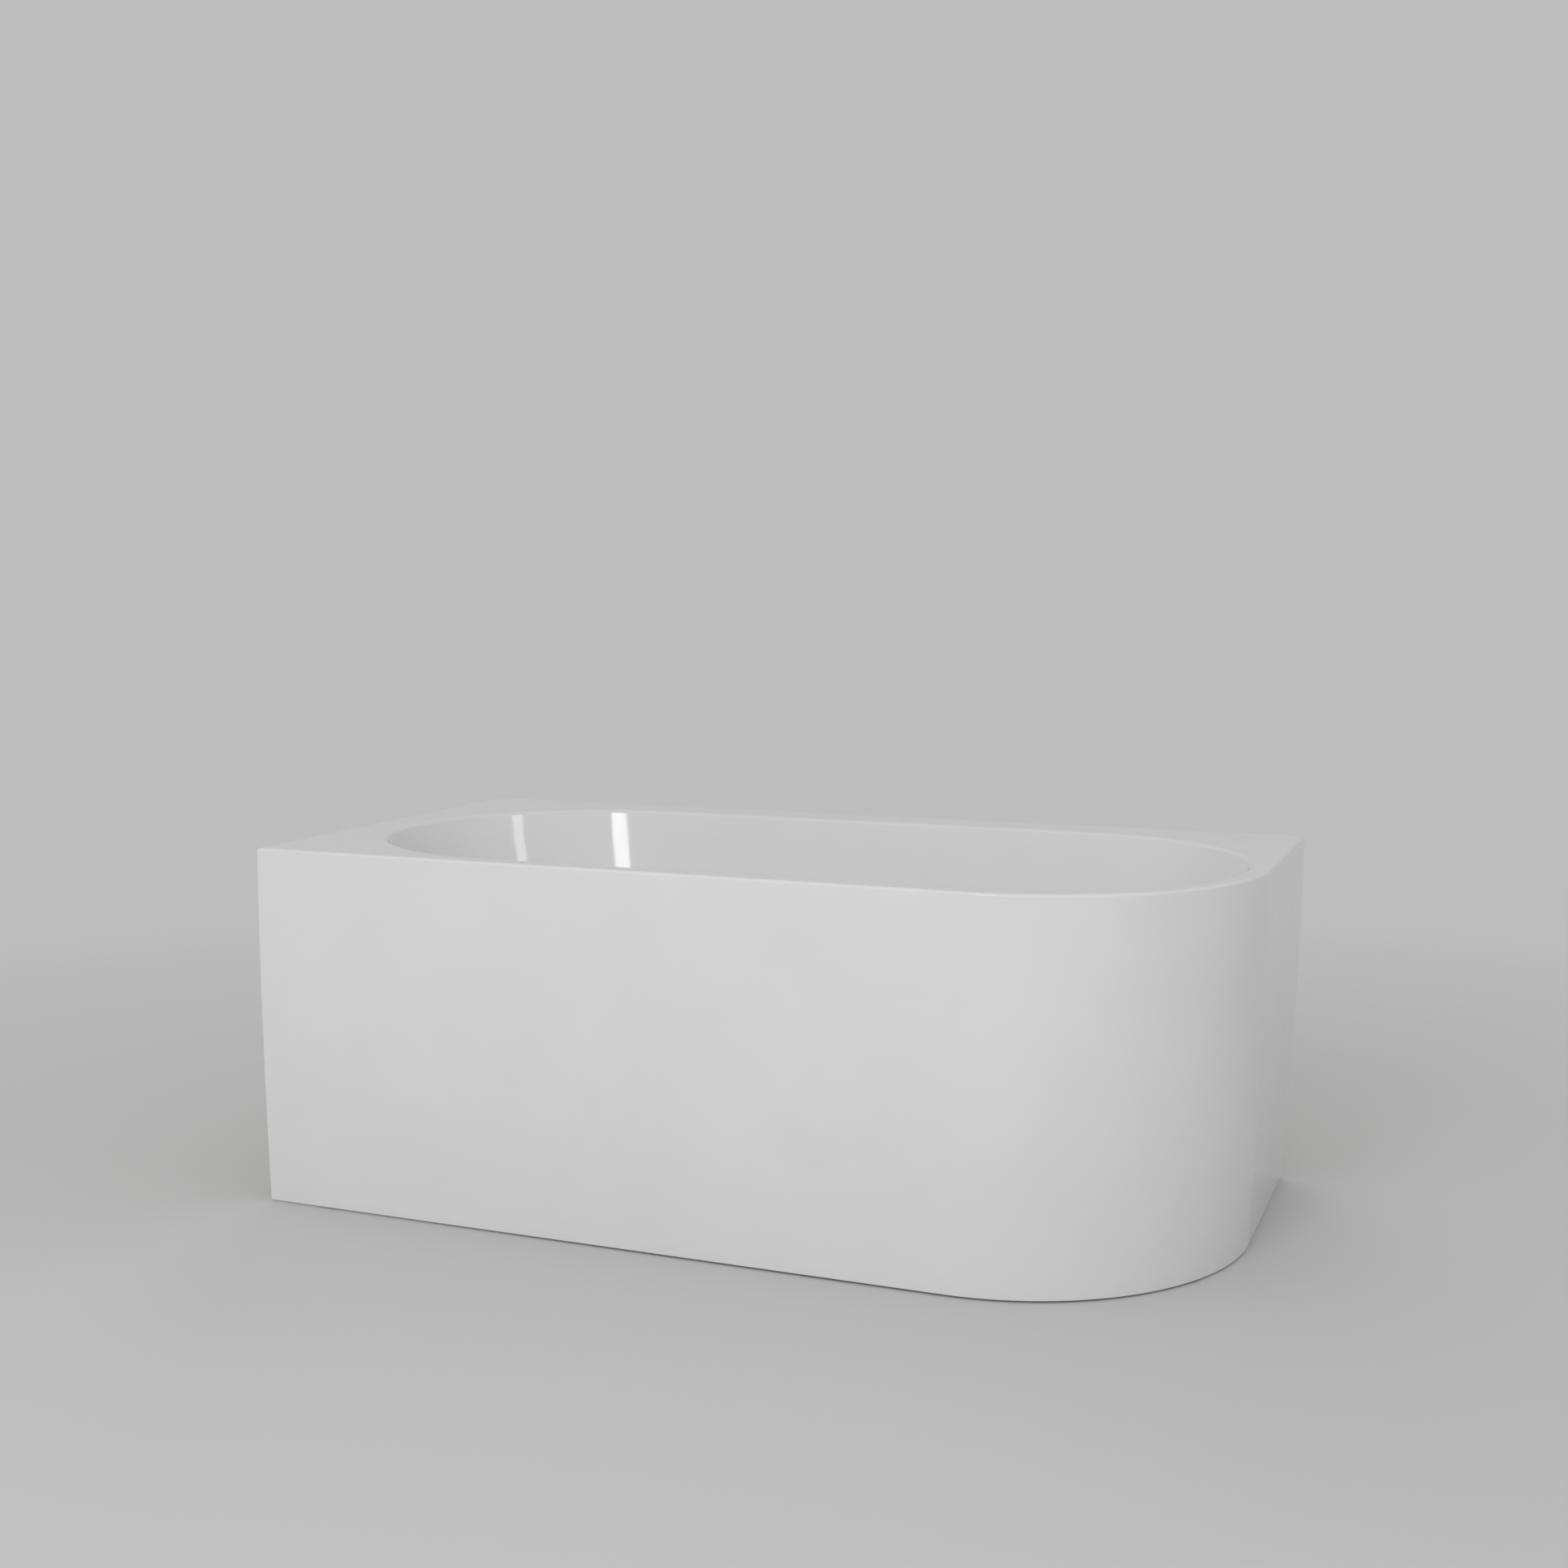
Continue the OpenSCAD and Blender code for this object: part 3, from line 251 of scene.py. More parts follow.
# %% [markdown]
# ### Glass-fibre laminate
# The back of the sheet carries chopped strands of glass, 30 to 50 mm long, rolled out in polyester resin. The
# strands lie every way, which three stretched noises at different angles imitate. They are drawn about 1.5 mm
# wide, coarser than real glass, because a finer strand would vanish at this distance.

# %% Laminate
STRAND_W, STRAND_L = 1.5, 36
laminate, shader, place = new_material("glass_fibre_laminate")
strands = None
for turn in ((0.5, 0.2, 0.4), (1.3, 0.9, 1.5), (0.1, 1.9, 2.6)):
    lie = add_node(laminate, "ShaderNodeMapping", {"Vector": place, "Rotation": turn})
    lie = add_node(laminate, "ShaderNodeMapping", {"Vector": lie, "Scale": (STRAND_W / STRAND_L, 1, 1)})
    streak = add_node(laminate, "ShaderNodeTexNoise", {"Vector": lie, "Scale": per_mm(STRAND_W), "Detail": 1})
    if strands is None:
        strands = streak
    else:
        strands = add_node(laminate, "ShaderNodeMath", {0: strands, 1: streak}, operation="MAXIMUM")
pool = add_node(laminate, "ShaderNodeTexNoise", {"Vector": place, "Scale": per_mm(90), "Detail": 3})
strand_share = add_node(laminate, "ShaderNodeMapRange", {
    "Value": strands, "From Min": 0.45, "From Max": 0.75})
strand_colour = add_node(laminate, "ShaderNodeMix", {
    FACTOR: strand_share, TINT_A: srgb("#b9b4a0"), TINT_B: srgb("#dedacb")}, data_type="RGBA")
pool_share = add_node(laminate, "ShaderNodeMapRange", {"Value": pool, **MIDDLE})
pool_colour = add_node(laminate, "ShaderNodeMix", {
    FACTOR: pool_share, TINT_A: srgb("#c4bea6"), TINT_B: srgb("#d8d5c8")}, data_type="RGBA")
both = add_node(laminate, "ShaderNodeMix", {
    FACTOR: 0.45, TINT_A: strand_colour.outputs[TINTED], TINT_B: pool_colour.outputs[TINTED]},
    data_type="RGBA")
wetness = add_node(laminate, "ShaderNodeMapRange", {"Value": pool, **MIDDLE, "To Min": 0.28, "To Max": 0.5})
ridges = add_node(laminate, "ShaderNodeBump", {"Height": strands, "Distance": 0.6 * MM})
set_inputs(laminate, shader, {"IOR": 1.54, "Base Color": both.outputs[TINTED], "Roughness": wetness,
                              "Normal": ridges})
print("laminate strands", STRAND_L, "by", STRAND_W, "mm")

# %% [markdown]
# ### Softwood and plywood
# The battens are planed spruce: pale, with darker late wood in long narrow bands along the length. The board
# is birch plywood: its faces show grain, and its cut edge shows thin plies, light and dark by turns. A piece
# that runs another way needs its grain turned, so the wood is made once for each direction.

# %% Spruce along each axis
def spruce(name, shrink):
    """Planed spruce; shrink makes the pattern's steps small along the grain, so that its bands are long"""
    material, shader, place = new_material(name)
    grain = add_node(material, "ShaderNodeMapping", {"Vector": place, "Scale": shrink})
    bands = add_node(material, "ShaderNodeTexNoise", {
        "Vector": grain, "Scale": per_mm(7), "Detail": 2, "Distortion": 0.4})
    pores = add_node(material, "ShaderNodeTexNoise", {"Vector": grain, "Scale": per_mm(1.2), "Detail": 2})
    late_wood = add_node(material, "ShaderNodeMath", {0: bands, 1: pores}, operation="ADD")
    late_wood = add_node(material, "ShaderNodeMapRange", {
        "Value": late_wood, "From Min": 0.8, "From Max": 1.15})
    bands = add_node(material, "ShaderNodeMapRange", {"Value": bands, **MIDDLE})
    finish(material, shader, late_wood, ("#b98f5c", "#dcbf90"), bands, (0.62, 0.78), pores, 0.25, IOR=1.5)
    return material


SPRUCE_STRETCH = 40               # its bands are this many times longer than wide
spruce_x = spruce("planed_spruce_lengthways", (1 / SPRUCE_STRETCH, 1, 1))
spruce_y = spruce("planed_spruce_crossways", (1, 1 / SPRUCE_STRETCH, 1))
print("spruce made along x and along y")

# %% Plywood with plies on its edge
PLY_MM, BIRCH_STRETCH = 1.8, 30
plywood, shader, place = new_material("birch_plywood")
grain = add_node(plywood, "ShaderNodeMapping", {"Vector": place, "Scale": (1 / BIRCH_STRETCH, 1, 1)})
veneer = add_node(plywood, "ShaderNodeTexNoise", {
    "Vector": grain, "Scale": per_mm(9), "Detail": 4, "Distortion": 0.6})
veneer_share = add_node(plywood, "ShaderNodeMapRange", {"Value": veneer, **MIDDLE})
veneer_colour = add_node(plywood, "ShaderNodeMix", {
    FACTOR: veneer_share, TINT_A: srgb("#b58d5e"), TINT_B: srgb("#d2b07c")}, data_type="RGBA")
level = add_node(plywood, "ShaderNodeSeparateXYZ", {0: place}).outputs["Z"]
ply = add_node(plywood, "ShaderNodeMath", {0: level, 1: 2 * PLY_MM * MM, 2: 0}, operation="WRAP")
ply_share = add_node(plywood, "ShaderNodeMapRange", {
    "Value": ply, "From Min": 0.85 * PLY_MM * MM, "From Max": 1.05 * PLY_MM * MM})
ply_colour = add_node(plywood, "ShaderNodeMix", {
    FACTOR: ply_share, TINT_A: srgb("#8a6238"), TINT_B: srgb("#cfae7c")}, data_type="RGBA")
facing = add_node(plywood, "ShaderNodeNewGeometry").outputs["Normal"]
facing_up = add_node(plywood, "ShaderNodeSeparateXYZ", {0: facing}).outputs["Z"]
flatness = add_node(plywood, "ShaderNodeMath", {0: facing_up}, operation="ABSOLUTE")
face_share = add_node(plywood, "ShaderNodeMapRange", {"Value": flatness, "From Min": 0.45, "From Max": 0.55})
board_colour = add_node(plywood, "ShaderNodeMix", {
    FACTOR: face_share, TINT_A: ply_colour.outputs[TINTED], TINT_B: veneer_colour.outputs[TINTED]},
    data_type="RGBA")
dryness = add_node(plywood, "ShaderNodeMapRange", {"Value": veneer, **MIDDLE, "To Min": 0.55, "To Max": 0.75})
fibres = add_node(plywood, "ShaderNodeBump", {"Height": veneer, "Distance": 0.2 * MM})
set_inputs(plywood, shader, {"IOR": 1.5, "Base Color": board_colour.outputs[TINTED], "Roughness": dryness,
                             "Normal": fibres})
print("plywood with plies of", PLY_MM, "mm")

# %% [markdown]
# ### Metals
# The frame is hot-dip galvanised: zinc crystals, called spangle, make patches 8 to 15 mm wide that differ in
# brightness and sheen. Screws, nuts and rods are electroplated with zinc, which is finer and brighter. The
# visible fittings are chromed brass: nearly a mirror, with faint marks from wiping. A metal keeps the default
# IOR.

# %% Galvanised steel
SPANGLE_MM = 11
galvanised, shader, place = new_material("galvanised_steel")
spangle = add_node(galvanised, "ShaderNodeTexVoronoi", {"Vector": place, "Scale": per_mm(SPANGLE_MM)})
crystal = add_node(galvanised, "ShaderNodeSeparateColor", {0: spangle.outputs["Color"]})
dross = add_node(galvanised, "ShaderNodeTexNoise", {"Vector": place, "Scale": per_mm(2.5), "Detail": 3})
finish(galvanised, shader, crystal, ("#9a9ea1", "#b9bcbd"), crystal, (0.36, 0.55), dross, 0.05, Metallic=1)
print("spangle", SPANGLE_MM, "mm wide")

# %% Zinc plate
zinc, shader, place = new_material("zinc_plated_steel")
plating = add_node(zinc, "ShaderNodeTexNoise", {"Vector": place, "Scale": per_mm(6), "Detail": 3})
plating = add_node(zinc, "ShaderNodeMapRange", {"Value": plating, **MIDDLE})
pits = add_node(zinc, "ShaderNodeTexNoise", {"Vector": place, "Scale": per_mm(0.8), "Detail": 3})
finish(zinc, shader, plating, ("#b4b7b8", "#cdd0d2"), plating, (0.24, 0.36), pits, 0.02, Metallic=1)

# %% Chrome
chrome, shader, place = new_material("chromed_brass")
strokes = add_node(chrome, "ShaderNodeMapping", {"Vector": place, "Rotation": (0.3, 0.2, 0.8)})
strokes = add_node(chrome, "ShaderNodeMapping", {"Vector": strokes, "Scale": (1 / 4, 1, 1)})
wiping = add_node(chrome, "ShaderNodeTexNoise", {"Vector": strokes, "Scale": per_mm(12), "Detail": 4})
smears = add_node(chrome, "ShaderNodeMapRange", {"Value": wiping, **MIDDLE})
finish(chrome, shader, smears, ("#d3d5d8", "#dddfe1"), smears, (0.05, 0.11), wiping, 0.005, Metallic=1)

# %% [markdown]
# ### Moulded plastics and rubber
# Waste and trap are polypropylene, moulded in a spark-eroded tool: satin, with a grain finer than a
# millimetre. The nuts, feet and crank are glass-filled nylon, darker and duller. Hose and cable sheath are
# soft PVC. Seals are EPDM rubber, and the strip along the walls is foamed, so its skin shows small closed
# cells.

# %% One recipe for moulded parts
def moulded(name, dark, light, roughness, grain_mm, grain_depth, ior):
    """Plastic or rubber from a mould: faint flow marks and a fine grain"""
    material, shader, place = new_material(name)
    flow = add_node(material, "ShaderNodeTexNoise", {
        "Vector": place, "Scale": per_mm(30), "Detail": 2, "Distortion": 0.5})
    flow = add_node(material, "ShaderNodeMapRange", {"Value": flow, **MIDDLE})
    grain = add_node(material, "ShaderNodeTexNoise", {
        "Vector": place, "Scale": per_mm(grain_mm), "Detail": 1})
    finish(material, shader, flow, (dark, light), flow, (roughness - 0.04, roughness + 0.05), grain,
           grain_depth, IOR=ior)
    return material


polypropylene = moulded("moulded_polypropylene_white", "#d2d2ce", "#dcdcd9", 0.40, 0.9, 0.04, 1.49)
nylon = moulded("glass_filled_nylon_black", "#1b1c1e", "#26272a", 0.50, 0.8, 0.05, 1.53)
hose_pvc = moulded("flexible_pvc_grey", "#6c7073", "#7b7f82", 0.42, 1.5, 0.04, 1.53)
sheath_pvc = moulded("cable_sheath_pvc_black", "#17181a", "#202124", 0.36, 1.2, 0.02, 1.53)
epdm = moulded("epdm_rubber", "#141414", "#1e1e1e", 0.62, 0.7, 0.04, 1.52)

# %% Foamed rubber
foam, shader, place = new_material("foamed_epdm")
cells = add_node(foam, "ShaderNodeTexVoronoi", {"Vector": place, "Scale": per_mm(1.6)})
# painted shade: the foam's own black is painted darker in the hollows of its cells, and lighter on the walls
# between them
pit_shade_share = add_node(foam, "ShaderNodeMapRange", {"Value": cells, "From Min": 0.1, "From Max": 0.7})
skin = add_node(foam, "ShaderNodeMix", {
    FACTOR: pit_shade_share, TINT_A: srgb("#151515"), TINT_B: srgb("#2b2b2b")}, data_type="RGBA")
cell_walls = add_node(foam, "ShaderNodeBump", {"Height": cells, "Distance": 0.3 * MM})
set_inputs(foam, shader, {"IOR": 1.5, "Roughness": 0.9, "Base Color": skin.outputs[TINTED],
                          "Normal": cell_walls})
print("materials:", len(bpy.data.materials))

# %% [markdown]
# ## The acrylic shell
# The basin and its rim are one skin. The lesson repeats the way the mould is drawn: closed rings, from the
# drain hole up the wall, over the lip, across the rim and down its edge, then back under everything as the
# laminate. Every ring has the same number of points, so neighbouring rings join with four-sided faces. A ring
# is a stadium, two half circles joined by straight sides, or an outline with three square corners and one
# round one.

# %% Sizes of the shell
length, width, height = [(b - a) / MM for a, b in zip(*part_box("basin_shell"))][:2] + [cad_box[1].z / MM]
half_l, half_w = length / 2, width / 2
rim_front, rim_back, rim_left, rim_right = 35, 90, 75, 33
rim_t, edge_r, lip_r, apron_h = 6, 5, 6, 12
basin_depth, shell_t, side_draft, end_draft, floor_r, floor_fall = 430, 6, 75, 170, 110, 6
corner_r, skirt_t, skirt_inset, skirt_bow, skirt_gap = 385, 5, 40, 0.45, 3
flange_t, bond_gap, batten_bot = 5, 0.3, height - 24
drain_r, drain_flat_r = 26, 40

open_w = (width - rim_front - rim_back) / 2
open_l = (length - rim_left - rim_right) / 2
basin_x, basin_y = (rim_left - rim_right) / 2, (rim_front - rim_back) / 2
end_x = open_l - open_w
floor_z = height - basin_depth
drain_z = floor_z - floor_fall
joint_z = height - apron_h
print(f"rim {length:.0f} x {width:.0f}, opening {2 * open_l:.0f} x {2 * open_w:.0f} mm")

# %% Ring points
QUARTER = 36                      # 2.5 degrees a step keeps a 385 mm arc within 0.1 mm of round
ring_turns = np.concatenate([np.linspace(-90, 90, 2 * QUARTER + 1), np.linspace(90, 270, 2 * QUARTER + 1)])
ring_ends = np.repeat([1, -1], 2 * QUARTER + 1)
ring_cos, ring_sin = np.cos(np.radians(ring_turns)), np.sin(np.radians(ring_turns))


def skirt_in(z):
    """How far the free sides lie inside the rim at a height"""
    share = max(0, height - edge_r - z) / (height - edge_r)
    return skirt_inset * ((1 - skirt_bow) * share + skirt_bow * share ** 2)


def stadium(half_width, half_length, z):
    """Two half circles joined by straight sides, round the middle of the basin"""
    x = basin_x + ring_ends * (half_length - half_width) + half_width * ring_cos
    return np.column_stack([x, basin_y + half_width * ring_sin, np.full(len(x), z)])


def drain_ring(r, z):
    """A circle round the drain, with as many points as every other ring"""
    turns = np.radians(-90 + 360 * (np.arange(len(ring_turns)) + 0.5) / len(ring_turns))
    return np.column_stack([basin_x + r * np.cos(turns), basin_y + r * np.sin(turns), np.full(len(turns), z)])


def rim_point(i):
    """Where the ray of ring point i leaves the footprint, or the square corner nearest to it"""
    start_x = basin_x + ring_ends[i] * end_x
    for corner_x, corner_y in ((half_l, half_w), (-half_l, half_w), (-half_l, -half_w)):
        turn = math.degrees(math.atan2(corner_y - basin_y, corner_x - start_x)) % 360
        if abs((ring_turns[i] % 360) - turn) <= 45 / QUARTER and corner_x * ring_ends[i] > 0:
            return corner_x, corner_y
    reach_x = (math.copysign(half_l, ring_cos[i]) - start_x) / ring_cos[i] if abs(ring_cos[i]) > 1e-6 else 1e9
    reach_y = (math.copysign(half_w, ring_sin[i]) - basin_y) / ring_sin[i] if abs(ring_sin[i]) > 1e-6 else 1e9
    reach = min(reach_x, reach_y)
    return start_x + reach * ring_cos[i], basin_y + reach * ring_sin[i]


def outline(off, z):
    """Outline of the rim, off inside its edge; its free sides follow the skirt"""
    free = skirt_in(z)
    points = []
    for i in range(len(ring_turns)):
        if i <= QUARTER:
            points.append((half_l - free - corner_r + (corner_r - off) * ring_cos[i],
                           -half_w + free + corner_r + (corner_r - off) * ring_sin[i], z))
        else:
            x, y = rim_point(i)
            points.append((min(max(x, -half_l + off), half_l - free - off),
                           min(max(y, -half_w + free + off), half_w - off), z))
    return np.array(points)


# %% Rings of the wall and its rounding into the floor
FLOOR_RINGS, WALL_RINGS, LIP_RINGS, EDGE_RINGS = 19, 9, 6, 8
LIP_FROM = 75                     # degrees: the lip's arc starts where it runs on from the leaning wall


def wall_ring(extra, z_draft, z):
    """A ring as wide as the wall is at z_draft, less extra on each side"""
    lean = (height - z_draft) / basin_depth
    return stadium(open_w - side_draft * lean - extra, open_l - end_draft * lean - extra, z)


def floor_rounding(turn, off, drop):
    """turn runs from 0 at the wall to 90 degrees at the floor"""
    centre_z = floor_z + floor_r
    sine, cosine = math.sin(math.radians(turn)), math.cos(math.radians(turn))
    return wall_ring(floor_r - (floor_r + off) * cosine, centre_z - floor_r * sine,
                     centre_z - (floor_r + off + drop) * sine)


wall_top, wall_low = height - lip_r, floor_z + floor_r
inner = [drain_ring(drain_r, drain_z), drain_ring(drain_flat_r, drain_z)]
inner += [floor_rounding(turn, 0, 0) for turn in np.linspace(90, 0, FLOOR_RINGS)]
inner += [wall_ring(0, z, z) for z in np.linspace(wall_low, wall_top, WALL_RINGS)[1:]]
for turn in np.linspace(LIP_FROM, 0, LIP_RINGS):
    z = height - lip_r * (1 - math.cos(math.radians(turn)))
    inner.append(wall_ring(-lip_r * (1 - math.sin(math.radians(turn))), z, z))
for turn in np.linspace(0, 90, EDGE_RINGS):
    sine, cosine = math.sin(math.radians(turn)), math.cos(math.radians(turn))
    inner.append(outline(edge_r * (1 - sine), height - edge_r * (1 - cosine)))
inner.append(outline(0, joint_z))
under = [outline(skirt_t + bond_gap, joint_z), outline(skirt_t + bond_gap, batten_bot)]
under += [outline(skirt_t + bond_gap + flange_t, z) for z in (batten_bot, height - rim_t)]
under += [wall_ring(-shell_t, height - rim_t, height - rim_t)]
under += [floor_rounding(turn, shell_t, floor_fall) for turn in np.linspace(0, 90, FLOOR_RINGS)]
under += [drain_ring(drain_r, drain_z - shell_t)]
print("rings:", len(inner), "outside and", len(under), "under it, of", len(ring_turns), "points")


# %% [markdown]
# The rings close on themselves like a doughnut: the last one joins the first through the drain hole. The
# overflow needs a round hole in the flat of the front wall, and it is cut as a hole saw would cut it.

# %% Skin of the shell
def ring_faces(rings, closed=True):
    """Four-sided faces between neighbouring rings, and from the last to the first if closed"""
    count = len(rings[0])
    faces = []
    for j in range(len(rings) if closed else len(rings) - 1):
        k = (j + 1) % len(rings)
        for i in range(count):
            n = (i + 1) % count
            faces.append((j * count + i, k * count + i, k * count + n, j * count + n))
    return faces


def drill_mesh(radius, depth):
    """A round bar along Z, in metres, to cut a hole with"""
    mesh = bpy.data.meshes.new("drill")
    bar = bmesh.new()
    bmesh.ops.create_cone(bar, segments=96, radius1=radius * MM, radius2=radius * MM, depth=depth * MM)
    bar.to_mesh(mesh)
    bar.free()
    return mesh


rings = inner + under
shell = make_piece("basin", np.concatenate(rings).tolist(), ring_faces(rings), "basin_shell",
                   [acrylic, laminate])
wall_turn = math.atan2(side_draft, basin_depth)
overflow_r, overflow_drop = 26, 95
overflow_at = Vector((basin_x, basin_y - open_w + side_draft * overflow_drop / basin_depth,
                      height - overflow_drop))
overflow_axis = Vector((0, math.cos(wall_turn), math.sin(wall_turn)))
outer_faces = len(inner) * len(ring_turns)
for number, face in enumerate(shell.data.polygons):
    face.material_index = 0 if number < outer_faces else 1
drill_place = Matrix.Translation(overflow_at * MM) @ turned_to(overflow_axis).to_4x4()
shell.data = carved(shell.data, drill_mesh(overflow_r, 6 * shell_t), drill_place)
smooth(shell, 40)
print("basin:", len(shell.data.polygons), "faces")

# %% [markdown]
# ## The skirt
# The skirt is a second formed sheet, bonded to the rim's edge so that the joint can't be seen. It steps in
# towards the floor on a slight bow, and ends 3 mm above it, which draws the thin dark line in the photograph.
# Its path runs along the front, round the free corner and back along the right end, and its lower edge is
# rounded.

# %% Skirt
FOOT_R, FOOT_STEPS, SKIRT_LEVELS = 1.5, 4, 41
INNER_EACH = 4                    # the back of the sheet keeps one level in four


def skirt_path(off, z):
    """The skirt's run at a height, off inside its face: front, free corner, right end"""
    free = skirt_in(z)
    arc = outline(off, z)[:QUARTER + 1]
    return np.vstack([[-half_l, -half_w + free + off, z], arc, [half_l - free - off, half_w, z]])


levels = np.linspace(skirt_gap + FOOT_R, joint_z, SKIRT_LEVELS)
profile = [(0, z) for z in levels[::-1]]
profile += [(FOOT_R * (1 - math.cos(a)), skirt_gap + FOOT_R * (1 - math.sin(a)))
            for a in np.radians(np.linspace(90 / FOOT_STEPS, 90, FOOT_STEPS))]
profile += [(skirt_t - FOOT_R, skirt_gap), (skirt_t, skirt_gap + FOOT_R)]
profile += [(skirt_t, z) for z in levels[1::INNER_EACH]]
paths = [skirt_path(off, z) for off, z in profile]
across, along = len(paths), len(paths[0])
points = np.concatenate(paths).tolist()
faces = [(j * along + i, j * along + i + 1, (j + 1) % across * along + i + 1, (j + 1) % across * along + i)
         for j in range(across) for i in range(along - 1)]
faces += [tuple(j * along for j in range(across)),
          tuple(j * along + along - 1 for j in reversed(range(across)))]
skirt = make_piece("skirt", points, faces, "skirt_panel", [acrylic, laminate])
inner_from = SKIRT_LEVELS + FOOT_STEPS + 1
for number, face in enumerate(skirt.data.polygons):
    face.material_index = 1 if inner_from * (along - 1) <= number < (across - 1) * (along - 1) else 0
face_outward(skirt)
smooth(skirt, 40)
print("skirt:", len(skirt.data.polygons), "faces")

# %% [markdown]
# ## Broken edges
# No real edge is perfectly sharp. Timber is planed with a small chamfer, steel tube is bent to a radius, and
# moulded plastic has a corner radius from its tool. A highlight runs along such an edge, and without it a
# part looks drawn. The model's own solids are copied, their flat faces are cleaned, and a Bevel modifier
# rounds them.

# %% Copies of the model's solids with broken edges
FLAT_TURN, EDGE_TURN = math.radians(1), math.radians(35)     # below one is flat, above the other is an edge
LONG_RUN = 20                     # an edge longer than this runs along its tube


def softened(node, radius, material, long_axis=None, long_radius=None, is_round=False):
    """Stands for a CAD node with its edges rounded, and more along a tube's own length"""
    solid = bmesh.new()
    solid.from_mesh(frame["nodes"][node].data)
    bmesh.ops.remove_doubles(solid, verts=solid.verts, dist=SAME_POINT * MM)
    bmesh.ops.dissolve_limit(solid, angle_limit=FLAT_TURN, verts=solid.verts, edges=solid.edges)
    weight = solid.edges.layers.float.new("bevel_weight_edge")
    biggest = max(radius, long_radius or 0)
    for edge in solid.edges:
        if len(edge.link_faces) == 2 and edge.calc_face_angle(0) > EDGE_TURN:
            run = edge.verts[1].co - edge.verts[0].co
            lengthways = long_axis is not None and abs(run[long_axis]) > LONG_RUN * MM and edge.is_convex
            edge[weight] = (long_radius if lengthways else radius) / biggest
    for face in solid.faces:
        face.material_index = 0
    mesh = bpy.data.meshes.new(node + "_finished")
    solid.to_mesh(mesh)
    solid.free()
    piece = dress_mesh(node + "_finished", mesh, node, [material])
    bevel = piece.modifiers.new("broken edges", "BEVEL")
    bevel.width, bevel.segments, bevel.limit_method = biggest * MM, 2, "WEIGHT"
    bevel.use_clamp_overlap = False
    piece.modifiers.new("no empty faces", "WELD").merge_threshold = SLIVER * MM
    return smooth(piece, 35, weighted=not is_round)


TUBE_CORNER_R = 3
for name in ("skirt", "front", "back"):
    softened("frame_rail_" + name, 0.3, galvanised, long_axis=0, long_radius=TUBE_CORNER_R)
for name in ("left", "middle", "right"):
    softened("frame_cross_" + name, 0.3, galvanised, long_axis=1, long_radius=TUBE_CORNER_R)
softened("floor_board", 0.8, plywood)
softened("rim_batten_back", 1.5, spruce_x)
softened("rim_batten_left", 1.5, spruce_y)
softened("skirt_blocks", 1.2, spruce_x)
for name in ("back_1", "back_2", "left_1", "left_2"):
    softened("wall_bracket_" + name, 0.5, galvanised)
for node in ("waste_body", "overflow_body", "trap_bend", "trap_outlet", "trap_cleanout_cap"):
    softened(node, 0.6, polypropylene, is_round=True)
for number in range(1, 7):
    softened(f"foot_pad_{number}", 0.8, nylon, is_round=True)
for node in ("weld_nuts", "lock_nuts"):
    softened(node, 0.5, zinc)
softened("overflow_flange", 0.5, chrome, is_round=True)
print("softened pieces made")

# %% [markdown]
# A frame like this is welded, so where a long tube crosses one below it, a bead lies along each side that the
# lower tube reaches past. A weld bead is a row of small overlapping scales, as the pool of steel freezes in
# steps. Here a bar follows the joint, half sunk in the steel, and its thickness swells once every 2.5 mm. All
# beads are one mesh.

# %% Weld beads
BEAD_R, BEAD_SCALE, BEAD_SIDES, BEAD_IN = 2.2, 2.5, 8, 4
BEAD_OUT, BEAD_UP = 0.6, 0.4      # from the lower tube's side and the upper one's face to the bead's middle
BEAD_END, BEAD_GROWTH = 0.35, 0.35     # share of its thickness at an end, and how much more each mm adds
BEAD_SWELL, BEAD_FLAT = 0.12, 0.7


def bead_rings(start_x, end_x, y, z):
    """Rings of points along a bead that runs in x and is thinner at its ends"""
    steps = int((end_x - start_x) * 4 / BEAD_SCALE)
    for x in np.linspace(start_x, end_x, steps + 1):
        taper = min(1, BEAD_END + BEAD_GROWTH * min(x - start_x, end_x - x))
        r = BEAD_R * taper * (1 + BEAD_SWELL * math.cos(2 * math.pi * (x - start_x) / BEAD_SCALE))
        yield [(x, y + r * math.cos(a), z + BEAD_FLAT * r * math.sin(a))
               for a in np.linspace(0, 2 * math.pi, BEAD_SIDES, endpoint=False)]


points, faces, bead_count = [], [], 0
for rail in ("skirt", "front", "back"):
    rail_low, rail_high = [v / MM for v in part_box("frame_rail_" + rail)]
    for cross in ("left", "middle", "right"):
        low, high = [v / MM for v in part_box("frame_cross_" + cross)]
        for y in (rail_low.y - BEAD_OUT, rail_high.y + BEAD_OUT):
            if low.x < rail_high.x and low.y + BEAD_R < y:
                first = len(points)
                rings = list(bead_rings(low.x + BEAD_IN, high.x - BEAD_IN, y, high.z + BEAD_UP))
                points += sum(rings, [])
                faces += [[first + n for n in face] for face in ring_faces(rings, closed=False)]
                faces += [list(range(first, first + BEAD_SIDES)),
                          list(range(len(points) - 1, len(points) - 1 - BEAD_SIDES, -1))]
                bead_count += 1
welds = make_piece("frame_welds", points, faces, "frame_cross_left", [galvanised], replace=False)
smooth(welds, 60, weighted=False)
print("weld beads:", bead_count)

# %% [markdown]
# ## Turned pieces
# The chromed fittings are turned or pressed round, so each is a profile spun about an axis. The profile is a
# short list of radius and height pairs, and each corner in it is rounded by a small arc before it is spun.
# The knob's face is dished, so that its mirror finish bends what it shows. It has shallow flutes round its
# rim for wet fingers, made by letting the radius dip as it goes round.

